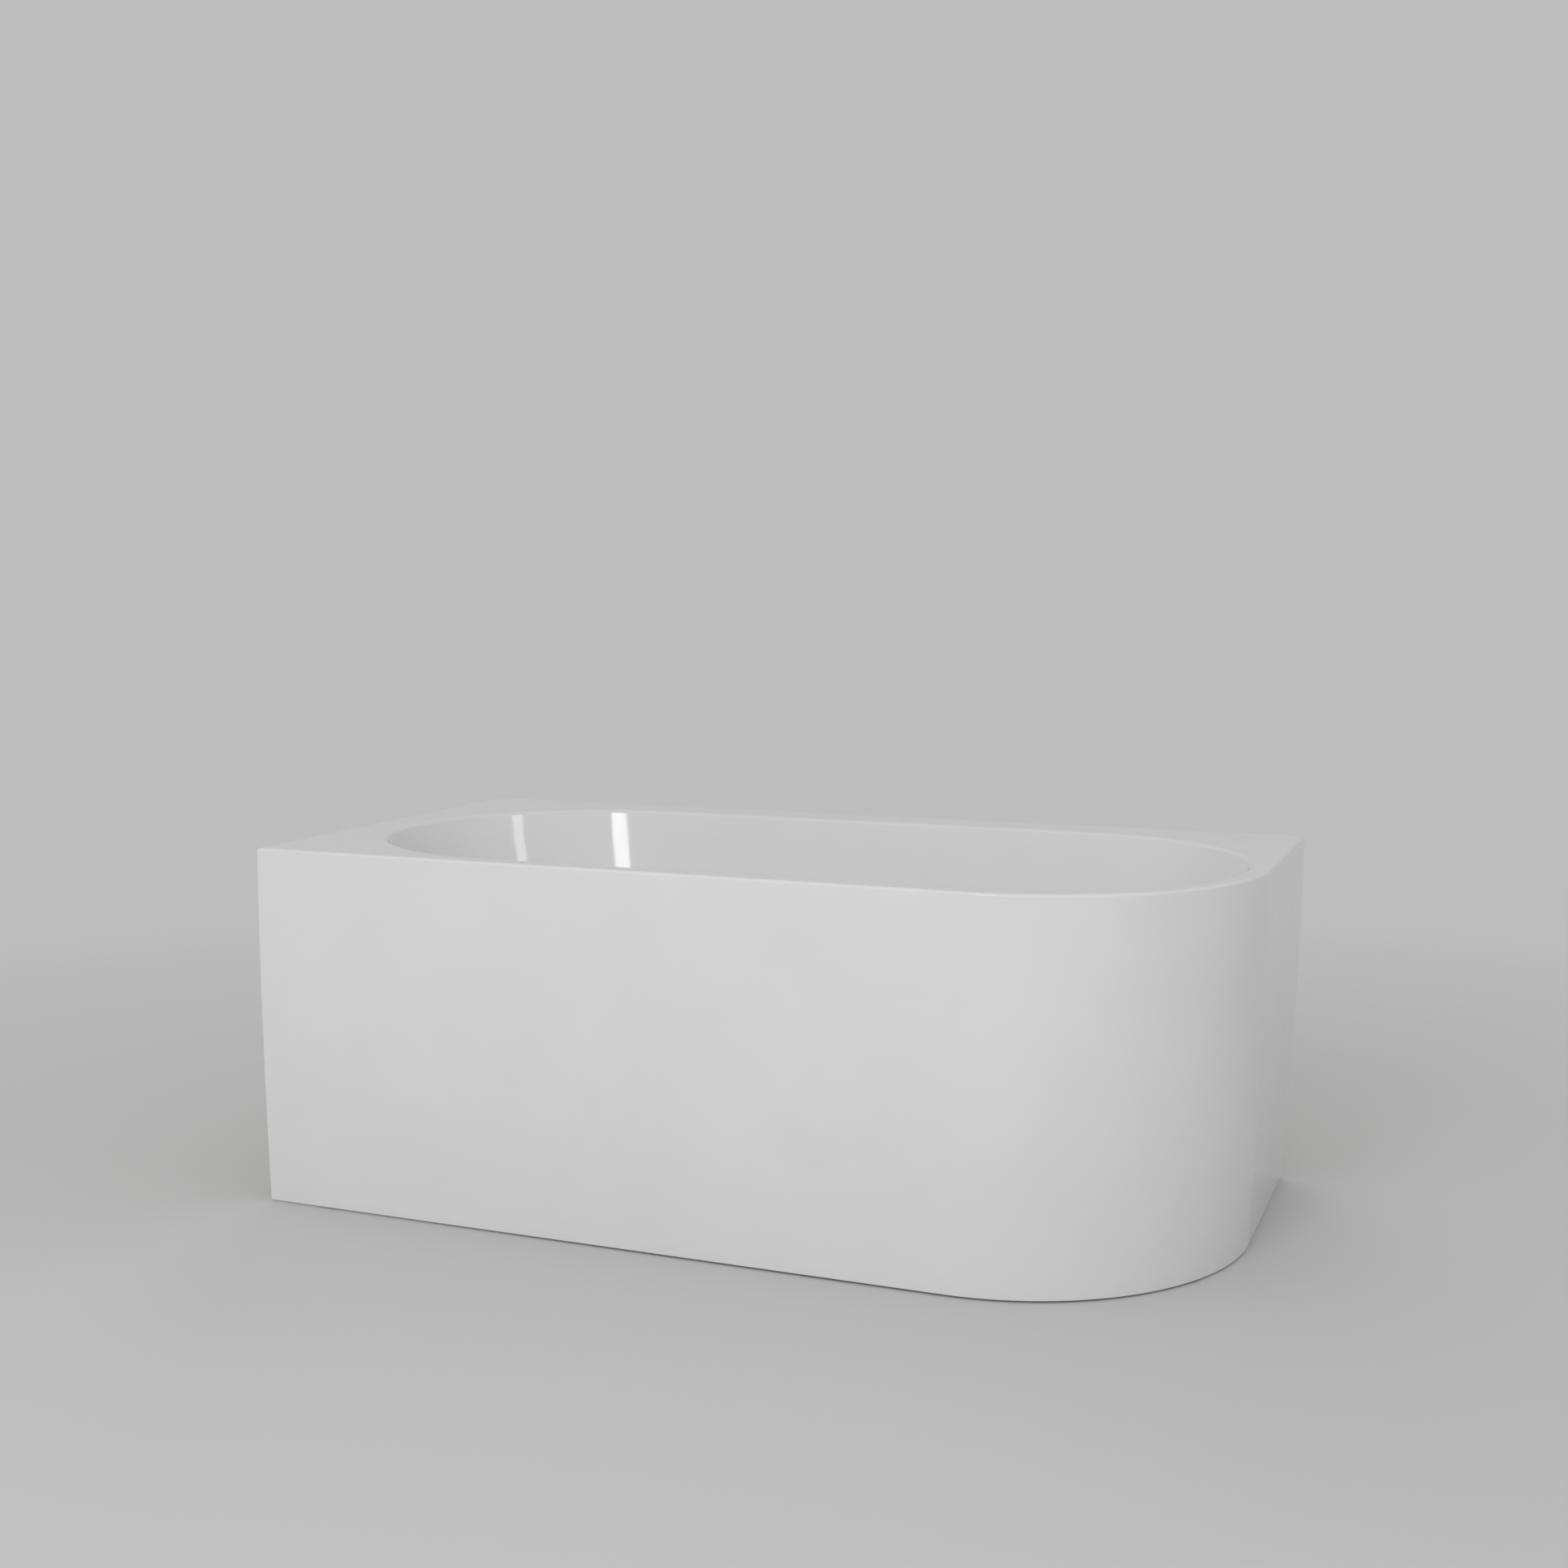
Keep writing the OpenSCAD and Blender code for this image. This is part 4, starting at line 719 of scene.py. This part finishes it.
# %% Spinning a profile
def rounded(profile, radius, steps=4):
    """Replaces each inner corner of a profile by an arc-like curve"""
    smooth_profile = [profile[0]]
    for before, corner, after in zip(profile, profile[1:], profile[2:]):
        corner = Vector(corner)
        into, out = Vector(before) - corner, Vector(after) - corner
        reach = min(radius, into.length * 0.45, out.length * 0.45)
        start, end = corner + into.normalized() * reach, corner + out.normalized() * reach
        for step in range(steps + 1):
            t = step / steps
            smooth_profile.append(tuple(start * (1 - t) ** 2 + corner * (2 * t * (1 - t)) + end * t ** 2))
    return smooth_profile + [profile[-1]]


def turned(name, profile, origin, axis, node, material, sides=96, flutes=0, flute_depth=0.0, flute_from=None):
    """Spins (radius, height) pairs, in millimetres, about an axis through origin"""
    count = len(profile)
    turn = turned_to(axis)
    rings = []
    for side in range(sides):
        angle = 2 * math.pi * side / sides
        dip = flute_depth * (0.5 - 0.5 * math.cos(flutes * angle)) ** 2 if flutes else 0
        rings.append([])
        for r, z in profile:
            r -= dip if flute_from is not None and r > flute_from else 0
            rings[-1].append(tuple(origin + turn @ Vector((r * math.cos(angle), r * math.sin(angle), z))))
    spun = [profile[i][0] > 1e-6 or profile[(i + 1) % count][0] > 1e-6 for i in range(count)]
    faces = [face for face in ring_faces(rings) if spun[face[0] % count]]
    piece = make_piece(name, sum(rings, []), faces, node, [material])
    face_outward(piece, merge_mm=0.001)
    return smooth(piece, 40, weighted=False)


# %% Knob, flange and plug
up = Vector((0, 0, 1))
drain_at = Vector((basin_x, basin_y, 0))
knob_r, knob_h, knob_off, knob_wall, spindle_r = 35, 12, 8, 3, 4
knob_top, dish_r, dish_deep = knob_off + knob_h, 28, 1.4
knob_floor, hub_r = knob_top - knob_wall, spindle_r + knob_wall
knob_profile = rounded([
    (spindle_r, knob_floor), (spindle_r, knob_off), (hub_r, knob_off), (hub_r, knob_floor),
    (knob_r - knob_wall, knob_floor), (knob_r - knob_wall, knob_off), (knob_r, knob_off),
    (knob_r, knob_top - 2), (knob_r - 1.8, knob_top - 0.2), (dish_r + 2, knob_top),
    (dish_r, knob_top - 0.5)], 0.9)
knob_profile += [(dish_r * share, knob_top - dish_deep + 0.9 * share ** 2)
                 for share in np.linspace(0.96, 0, 14)]
turned("overflow_knob_chromed", knob_profile + [(0, knob_floor)], overflow_at, overflow_axis, "overflow_knob",
       chrome, sides=192, flutes=24, flute_depth=0.9, flute_from=knob_r - 1.5)

cap_low, cap_high = [v.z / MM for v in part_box("plug_cap")]
cap_r, boss_r, cap_under = 32, 9, cap_low + 5
plug_profile = rounded([(0, cap_low), (boss_r, cap_low), (boss_r, cap_under), (cap_r, cap_under),
                        (cap_r, cap_under + 2.4), (cap_r - 4, cap_high - 0.3), (0, cap_high)], 1.0)
turned("plug_cap_chromed", plug_profile, drain_at, up, "plug_cap", chrome)
softened("waste_flange", 0.4, chrome)
print(f"knob {2 * knob_r} mm, plug cap {2 * cap_r} mm across")

# %% [markdown]
# ## Threads and screws
# A screw thread is what says at once that a rod can be turned. The foot rods have M10 threads with the 1.5 mm
# pitch that couples their turning to the feet's travel. Ring after ring of points climbs by the pitch in each
# turn, and the radius follows the thread's flanks. The screws are pan heads with a cross recess; their places
# and directions are read from the model's own screws.

# %% Foot rods
ROD_R, PITCH, THREAD_DEPTH, ROD_SIDES, THREAD_STEPS = 5, 1.5, 0.8, 24, 5
THREAD_FLANK = 2.5                # the thread is at full depth 1 / 2.5 of a pitch away from its crest
HEX_ACROSS, HEX_H, HEX_EDGE = 17, 6, 0.6
SEAT_GAP = 0.05                   # keeps the rod's end off its socket's floor, so that they share no plane


def threaded_rod(number):
    """Rows climb by a step, and the points of a row by a pitch, so a row ends where another starts"""
    node = f"foot_rod_{number}"
    low, high = [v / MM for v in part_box(node)]
    low.z += SEAT_GAP
    centre_x, centre_y = (low.x + high.x) / 2, (low.y + high.y) / 2
    rows = round((high.z - low.z) / PITCH * THREAD_STEPS)
    step = (high.z - low.z) / rows
    last = rows - THREAD_STEPS
    grid, points = {}, []

    def add_point(key, r, turn, z):
        """Adds a point and keeps its number under a key"""
        grid[key] = len(points)
        points.append((centre_x + r * math.cos(turn), centre_y + r * math.sin(turn), z))

    for k in range(rows + 1):
        share = (k + 2) % THREAD_STEPS / THREAD_STEPS
        r = ROD_R - THREAD_DEPTH * min(1, THREAD_FLANK * min(share, 1 - share))
        for i in range(ROD_SIDES if k <= last else 1):
            z = low.z + step * (k + THREAD_STEPS * i / ROD_SIDES)
            add_point((k, i), r, 2 * math.pi * i / ROD_SIDES, z)
    for k in range(last + 1):
        grid[k, ROD_SIDES] = grid[k + THREAD_STEPS, 0]
    for i in range(1, ROD_SIDES):
        for end, z in (("low", low.z), ("high", high.z)):
            add_point((end, i), ROD_R - THREAD_DEPTH, 2 * math.pi * i / ROD_SIDES, z)
    grid["low", 0], grid["high", 0] = grid[0, 0], grid[rows, 0]
    grid["low", ROD_SIDES], grid["high", ROD_SIDES] = grid[0, 0], grid[rows, 0]

    corners = [[(k, i), (k, i + 1), (k + 1, i + 1), (k + 1, i)]
               for k in range(last) for i in range(ROD_SIDES)]
    corners += [[("low", i), ("low", i + 1), (0, i + 1), (0, i)] for i in range(ROD_SIDES - 1)]
    corners += [[("low", ROD_SIDES - 1)] + [(k, 0) for k in range(THREAD_STEPS + 1)] + [(0, ROD_SIDES - 1)]]
    corners += [[(last, 0), (last, 1), ("high", 1)] + [(k, 0) for k in range(rows, last, -1)]]
    corners += [[(last, i), (last, i + 1), ("high", i + 1), ("high", i)] for i in range(1, ROD_SIDES)]
    corners += [[("low", i) for i in range(ROD_SIDES - 1, -1, -1)], [("high", i) for i in range(ROD_SIDES)]]
    faces = [list(dict.fromkeys(grid[key] for key in keys)) for keys in corners]

    collar_low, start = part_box(f"foot_pad_{number}")[1].z / MM + SEAT_GAP, len(points)
    for across, z in ((HEX_ACROSS - 1, collar_low), (HEX_ACROSS, collar_low + HEX_EDGE),
                      (HEX_ACROSS, collar_low + HEX_H - HEX_EDGE), (HEX_ACROSS - 1, collar_low + HEX_H)):
        for i in range(6):
            add_point(("hex", z, i), across / 2 / math.cos(math.radians(30)), math.radians(60 * i), z)
    faces += [(a, b, b + 6, a + 6) for j in range(3) for a, b in
              ((start + 6 * j + i, start + 6 * j + (i + 1) % 6) for i in range(6))]
    faces += [[start + i for i in reversed(range(6))], [start + 18 + i for i in range(6)]]
    piece = make_piece(node + "_threaded", points, faces, node, [zinc])
    return smooth(piece, 50, weighted=False)


rods = [threaded_rod(number) for number in range(1, 7)]
print("threaded rods:", len(rods))

# %% Places of the model's screws
SCREW_R, CREST_TO_ROOT, ROOT_DEPTH, POINT_L, SCREW_SIDES = 2.5, 0.9, 0.5, 2, 24
HEAD_R, HEAD_H, CROSS_W, CROSS_DEEP, CROSS_LOW, CROSS_TOP = 5, 3, 1.1, 1.7, 1.2, 2.6


def islands(node):
    """Points of each separate solid of a CAD node, in millimetres"""
    solid = bmesh.new()
    solid.from_mesh(frame["nodes"][node].data)
    bmesh.ops.remove_doubles(solid, verts=solid.verts, dist=SAME_POINT * MM)
    left, found = set(solid.verts), []
    while left:
        group, to_visit = set(), [next(iter(left))]
        while to_visit:
            vert = to_visit.pop()
            if vert not in group:
                group.add(vert)
                to_visit += [edge.other_vert(vert) for edge in vert.link_edges]
        left -= group
        found.append(np.array([v.co for v in group]) / MM)
    solid.free()
    return sorted(found, key=lambda p: tuple(np.round(p.mean(0), 2)))


def screw_place(points):
    """Middle of the head's face, the direction in which the screw points, and its length below the head"""
    middle = (points.min(0) + points.max(0)) / 2
    axis = np.linalg.svd(points - points.mean(0))[2][0]
    along = (points - middle) @ axis
    radial = np.linalg.norm(points - middle - np.outer(along, axis), axis=1)
    if along[radial > HEAD_R - 0.5].mean() > 0:
        axis, along = -axis, -along
    return middle + axis * (along.min() + HEAD_H), axis, np.ptp(along) - HEAD_H


# %% Screws
def screw_points(length):
    """A pan head above z = 0 and a thread below it, as rings from the top down"""
    root_r = SCREW_R - ROOT_DEPTH
    rings = [(0.0, HEAD_H), (HEAD_R * 0.55, HEAD_H - 0.15), (HEAD_R * 0.85, HEAD_H - 0.7),
             (HEAD_R, HEAD_H - 1.6), (HEAD_R, 0.3), (HEAD_R - 0.3, 0), (SCREW_R, 0)]
    for k in range(int((length - 2 * POINT_L) / CREST_TO_ROOT)):
        rings.append((SCREW_R if k % 2 else root_r, -1 - CREST_TO_ROOT * k))
    return rings + [(root_r, POINT_L - length), (0.0, -length)]


def cross_mesh():
    """A cross to cut into a head; its arms get shorter as it goes down"""
    points = []
    for arm, z in ((CROSS_LOW, HEAD_H - CROSS_DEEP), (CROSS_TOP, HEAD_H + 1)):
        for turn in (0, 90, 180, 270):
            for x, y in ((arm, -CROSS_W / 2), (arm, CROSS_W / 2), (CROSS_W / 2, CROSS_W / 2)):
                points.append(Matrix.Rotation(math.radians(turn), 3, "Z") @ Vector((x, y, z)) * MM)
    sides = [(i, (i + 1) % 12, 12 + (i + 1) % 12, 12 + i) for i in range(12)]
    mesh = bpy.data.meshes.new("cross")
    mesh.from_pydata(points, [], sides + [tuple(reversed(range(12))), tuple(range(12, 24))])
    return mesh


def screw_mesh(length):
    """One screw with its head's recess, in metres, pointing down from the origin"""
    solid = bmesh.new()
    rows = []
    for r, z in screw_points(length):
        if r == 0:
            rows.append([solid.verts.new((0, 0, z * MM))])
        else:
            rows.append([solid.verts.new((r * MM * math.cos(2 * math.pi * i / SCREW_SIDES),
                                          r * MM * math.sin(2 * math.pi * i / SCREW_SIDES), z * MM))
                         for i in range(SCREW_SIDES)])
    for upper, lower in zip(rows, rows[1:]):
        for i in range(SCREW_SIDES):
            n = (i + 1) % SCREW_SIDES
            corners = [upper[i % len(upper)], lower[i % len(lower)],
                       lower[n % len(lower)], upper[n % len(upper)]]
            solid.faces.new(list(dict.fromkeys(corners)))
    mesh = bpy.data.meshes.new("screw")
    solid.to_mesh(mesh)
    solid.free()
    return carved(mesh, cross_mesh())


def screws(node):
    """Stands for a node of screws: one pan head screw at the place of each"""
    joined = bmesh.new()
    for points in islands(node):
        head, axis, length = screw_place(points)
        mesh = screw_mesh(length)
        mesh.transform(Matrix.Translation(Vector(head) * MM) @ turned_to(Vector(-axis)).to_4x4())
        joined.from_mesh(mesh)
    bmesh.ops.remove_doubles(joined, verts=joined.verts, dist=SLIVER * MM)
    bmesh.ops.triangulate(joined, faces=[face for face in joined.faces if len(face.verts) > 4])
    bmesh.ops.dissolve_degenerate(joined, dist=SAME_POINT * MM, edges=joined.edges)
    result = bpy.data.meshes.new(node + "_pan_head")
    joined.to_mesh(result)
    joined.free()
    return smooth(dress_mesh(node + "_pan_head", result, node, [zinc]), 35, weighted=False)


for node in ("block_screws", "board_screws", "bracket_screws", "overflow_screws"):
    print(node, "made:", len(screws(node).data.polygons), "faces")

# %% [markdown]
# ## Hose, cable and hand-tightened nuts
# The overflow hose is a corrugated pipe: ribs every 4 mm let it bend round its 70 mm radius without kinking.
# A tube is swept along the same path as the model's plain one, and its radius swings as it goes. The big
# plastic nuts are tightened by hand, so they have ribs to hold.

# %% Sweeping a tube in the plane of the overflow
bend_r, hose_r, hose_bore, cable_r, cable_dx, rail_clear = 70, 11, 9, 2.5, 24, 6
rail_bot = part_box("frame_rail_front")[0].z / MM
hose_z = rail_bot - hose_r - rail_clear


def wall_point(down, out):
    """World y and z of a point that lies down the wall from the overflow and out from its inner face"""
    return (overflow_at.y + down * math.sin(wall_turn) + out * math.cos(wall_turn),
            overflow_at.z - down * math.cos(wall_turn) + out * math.sin(wall_turn))


def run_path(start, end_y, step):
    """Points [y, z] and headings: down the wall, round the bend and level to the waste"""
    lean = wall_turn - math.pi / 2
    bend_z = hose_z + bend_r * (1 - math.sin(wall_turn))
    run = (start[1] - bend_z) / math.cos(wall_turn)
    bend_y = start[0] + run * math.sin(wall_turn) + bend_r * math.cos(wall_turn)
    arc = bend_r * (math.pi / 2 - wall_turn)
    level = end_y - bend_y
    total = run + arc + level
    for s in np.linspace(0, total, int(total / step) + 1):
        if s < run:
            yield start[0] + s * math.sin(wall_turn), start[1] - s * math.cos(wall_turn), lean, s, total
        elif s < run + arc:
            turn = lean * (1 - (s - run) / arc)
            yield bend_y + bend_r * math.sin(turn), hose_z + bend_r * (1 - math.cos(turn)), turn, s, total
        else:
            yield bend_y + s - run - arc, hose_z, 0.0, s, total


def swept(name, node, material, start, end_y, dx, sides, step, radius_at, bore=None):
    """A round bar along the run, moved dx sideways, or a tube if it has a bore"""
    outside, inside = [], []
    for y, z, turn, s, total in run_path(start, end_y, step):
        for ring_list, r in ((outside, radius_at(s, total)), (inside, bore)):
            if r:
                ring_list.append([(basin_x + dx + r * math.cos(a), y - r * math.sin(a) * math.sin(turn),
                                   z + r * math.sin(a) * math.cos(turn))
                                  for a in np.linspace(0, 2 * math.pi, sides, endpoint=False)])
    rings = outside + inside[::-1]
    faces = ring_faces(rings, closed=bool(inside))
    if not inside:
        faces += [tuple(range(sides)), tuple(range(len(rings) * sides - 1, (len(rings) - 1) * sides - 1, -1))]
    piece = make_piece(name, np.concatenate(rings).tolist(), faces, node, [material])
    face_outward(piece)
    return smooth(piece, 60, weighted=False)


RIB_MM, RIB_DEPTH, PLAIN_END = 4, 1.3, 22


def ribbed_radius(s, total):
    """The hose's radius at s along it: it dips between two ribs, and stays plain near the ends"""
    fade = min(1, max(0, s - PLAIN_END) / RIB_MM, max(0, total - PLAIN_END - s) / RIB_MM)
    return hose_r - RIB_DEPTH * fade * (0.5 - 0.5 * math.cos(2 * math.pi * s / RIB_MM))


body_r, body_deep, gasket_t, hose_start = 33, 27, 3, 3
hose_w = -(shell_t + gasket_t + body_deep) / 2 - 6.5     # 6.5 mm behind the middle of the overflow's body
waste_r, cup_t, hose_stop = 36, 3, 4
swept("overflow_hose_ribbed", "overflow_hose", hose_pvc, wall_point(body_r + hose_start, hose_w),
      basin_y - waste_r - hose_stop, 0, 32, RIB_MM / 8, ribbed_radius, hose_bore)
swept("control_cable_sheath", "control_cable", sheath_pvc, wall_point(body_r / 2, hose_w),
      basin_y - waste_r + cup_t, cable_dx, 16, 6, lambda s, total: cable_r)
print("hose and cable swept")


# %% Ribbed nuts
def ribbed_nut(node, material, bore, outer, nut_height, origin, axis, ribs=16, rib=1.2):
    """Stands for a node with a ring that has rounded ribs round it and chamfered ends"""
    turn = turned_to(axis)
    sides, chamfer = ribs * 8, 1.0
    valley_r, end_r = outer - rib, outer - rib - chamfer
    rows = [(bore, 0, 0), (end_r, 0, 0), (valley_r, chamfer, 1), (valley_r, nut_height - chamfer, 1),
            (end_r, nut_height, 0), (bore, nut_height, 0)]
    rings = []
    for r, z, ribbed in rows:
        rings.append([])
        for i in range(sides):
            angle = 2 * math.pi * i / sides
            ridge = r + ribbed * rib * max(0, math.cos(ribs * angle)) ** 0.5
            rings[-1].append(tuple(origin + turn @ Vector((
                ridge * math.cos(angle), ridge * math.sin(angle), z))))
    piece = make_piece(node + "_ribbed", sum(rings, []), ring_faces(rings), node, [material])
    face_outward(piece)
    return smooth(piece, 45, weighted=False)


pipe_r, nut_h, nut_wall, run_gap = 20, 14, 6, 0.05
for node in ("trap_nut_in", "trap_nut_out"):
    low, high = [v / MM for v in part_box(node)]
    middle = Vector(((low.x + high.x) / 2, (low.y + high.y) / 2, low.z))
    ribbed_nut(node, polypropylene, pipe_r + run_gap, pipe_r + nut_wall, nut_h, middle, up)

top_boss_l, top_boss_t, low_boss_l, low_boss_t = 18, 2.5, 24, 3
hose_nut_h, hose_nut_wall, nut_lap = 18, 3, 12     # the lap is how far a nut reaches over its boss
top_nut_at = Vector((basin_x, *wall_point(body_r + top_boss_l - nut_lap, hose_w)))
low_nut_at = Vector((basin_x, basin_y - waste_r - low_boss_l + nut_lap - hose_nut_h, hose_z))
down_wall = Vector((0, math.sin(wall_turn), -math.cos(wall_turn)))
for node, boss_t, nut_at, axis in (("hose_nut_top", top_boss_t, top_nut_at, down_wall),
                                   ("hose_nut_bottom", low_boss_t, low_nut_at, Vector((0, 1, 0)))):
    ribbed_nut(node, nylon, hose_r + run_gap, hose_r + boss_t + hose_nut_wall, hose_nut_h, nut_at, axis)
print("ribbed nuts made")

# %% [markdown]
# ## Pieces that stay as the model made them
# Seals, the plug's stem, the crank and the spindle are small and already the right shape, so they only take
# their materials.

# %% Materials on the model's own nodes
kept = {"wall_seal_strip": foam, "waste_flange_seal": epdm, "waste_body_seal": epdm, "plug_seal": epdm,
        "overflow_gasket": epdm, "plug_stem": chrome, "lift_crank": nylon, "knob_spindle": nylon}
for node, material in kept.items():
    for slot in frame["nodes"][node].material_slots:
        slot.material = material
print("kept nodes:", ", ".join(kept))

# %% [markdown]
# ## Studio
# The photograph is lit from all round, and a little more from the front, so the skirt is its brightest face.
# The world gives that fill, and a large softbox behind the camera the rest. A weaker one stands behind the
# tub and lights its frame. Both are hidden from reflections, because no such patch shows in the
# photograph. Acrylic mirrors what is small and bright: the two upright lines on the basin's far wall are two
# small lamps, and following the camera's rays off that wall gives their places. They are rolled by a little
# more than half a right angle, because the leaning wall slants what it mirrors. What is mirrored grows dark
# overhead, where no camera looks, and that gives chrome its contrast. The floor is a pale disc that fades
# into the background, so no horizon shows.

# %% Camera at the photograph's angle
PHOTO_SIZE, FOCAL_PX, HORIZON_PX = 1932, 2407.27, 710.28
camera_data = bpy.data.cameras.new("camera")
camera_data.sensor_width = 36
camera_data.lens = FOCAL_PX / PHOTO_SIZE * camera_data.sensor_width
camera_data.shift_y = (HORIZON_PX - PHOTO_SIZE / 2) / PHOTO_SIZE
camera = bpy.data.objects.new("camera", camera_data)
camera.location = (1.21776, -3.09428, 1.05142)
camera.rotation_euler = (math.pi / 2, 0, 0.379395)
scene.collection.objects.link(camera)
scene.camera = camera
print(f"lens {camera_data.lens:.1f} mm, shift {camera_data.shift_y:.3f}")


# %% Lamps
def lamp(name, place, target, size_x, size_y, watts, mirrored=True, roll=0):
    """An area lamp that the camera doesn't see, and that gloss mirrors if it says so"""
    data = bpy.data.lights.new(name, "AREA")
    data.shape, data.size, data.size_y, data.energy = "RECTANGLE", size_x, size_y, watts
    piece = bpy.data.objects.new(name, data)
    piece.location = place
    aim = (Vector(target) - Vector(place)).to_track_quat("-Z", "Y").to_matrix()
    piece.rotation_euler = (aim @ Matrix.Rotation(math.radians(roll), 3, "Z")).to_euler()
    piece.visible_camera, piece.visible_glossy = False, mirrored
    scene.collection.objects.link(piece)


tub_middle = (0, 0, 0.35)
lamp("front_softbox", (0.5, -4.6, 2.7), tub_middle, 4.0, 3.0, 65, mirrored=False)
lamp("back_softbox", (-1.8, 4.6, 2.2), tub_middle, 3.0, 2.0, 34, mirrored=False)
lamp("front_lamp", (0.08, -4.0, 1.95), (-0.46, 0.28, 0.54), 0.57, 1.0, 17.5, roll=55)
lamp("right_lamp", (4.0, -1.10, 3.11), (-0.63, 0.18, 0.55), 0.36, 1.0, 5.3, roll=52)
print("lamps:", len(bpy.data.lights))

# %% World and floor
BACKGROUND, OVERHEAD, FILL = "#bdbdbd", "#747474", 0.63
DARK_FROM, DARK_FULL = math.radians(36), math.radians(62)     # how high up the room's grey starts and ends
world = bpy.data.worlds.new("studio")
world.use_nodes = True
scene.world = world
direction = add_node(world, "ShaderNodeTexCoord").outputs["Generated"]
rise = add_node(world, "ShaderNodeSeparateXYZ", {0: direction}).outputs["Z"]
overhead = add_node(world, "ShaderNodeMapRange", {
    "Value": rise, "From Min": math.sin(DARK_FROM), "From Max": math.sin(DARK_FULL)})
room = add_node(world, "ShaderNodeMix", {
    FACTOR: overhead, TINT_A: srgb(BACKGROUND), TINT_B: srgb(OVERHEAD)}, data_type="RGBA")
light_path = add_node(world, "ShaderNodeLightPath")
seen = add_node(world, "ShaderNodeMath", {
    0: light_path.outputs["Is Camera Ray"], 1: light_path.outputs["Is Transmission Ray"]},
    operation="MAXIMUM")
seen = add_node(world, "ShaderNodeMath", {
    0: seen, 1: light_path.outputs["Is Glossy Ray"]}, operation="MAXIMUM")
shown = add_node(world, "ShaderNodeBackground", {"Color": room.outputs[TINTED]})
fill = world.node_tree.nodes["Background"]
set_inputs(world, fill, {"Color": (1, 1, 1, 1), "Strength": FILL})
chosen = add_node(world, "ShaderNodeMixShader", {0: seen, 1: fill, 2: shown})
set_inputs(world, world.node_tree.nodes["World Output"], {"Surface": chosen})

FLOOR_R, FADE_FROM, FADE_TO = 5, 1.5, 3.4
floor_paint, shader, place = new_material("studio_floor")
set_inputs(floor_paint, shader, {"Base Color": srgb("#cbcbcb"), "Roughness": 0.6})
away = add_node(floor_paint, "ShaderNodeVectorMath", {0: place}, operation="LENGTH").outputs["Value"]
fade = add_node(floor_paint, "ShaderNodeMapRange", {
    "Value": away, "From Min": FADE_FROM, "From Max": FADE_TO})
clear = add_node(floor_paint, "ShaderNodeBsdfTransparent")
blend = add_node(floor_paint, "ShaderNodeMixShader", {0: fade, 1: shader, 2: clear})
set_inputs(floor_paint, floor_paint.node_tree.nodes["Material Output"], {"Surface": blend})
disc = bmesh.new()
bmesh.ops.create_circle(disc, cap_ends=True, segments=128, radius=FLOOR_R)
floor_mesh = bpy.data.meshes.new("studio_floor")
disc.to_mesh(floor_mesh)
disc.free()
floor_mesh.materials.append(floor_paint)
floor = bpy.data.objects.new("studio_floor", floor_mesh)
scene.collection.objects.link(floor)
scene.view_settings.view_transform = "Standard"

# %% [markdown]
# ## Sizes
# The model's box is printed.

# %% Print the model's box
print("model box ", [round(v, 4) for corner in cad_box for v in corner])
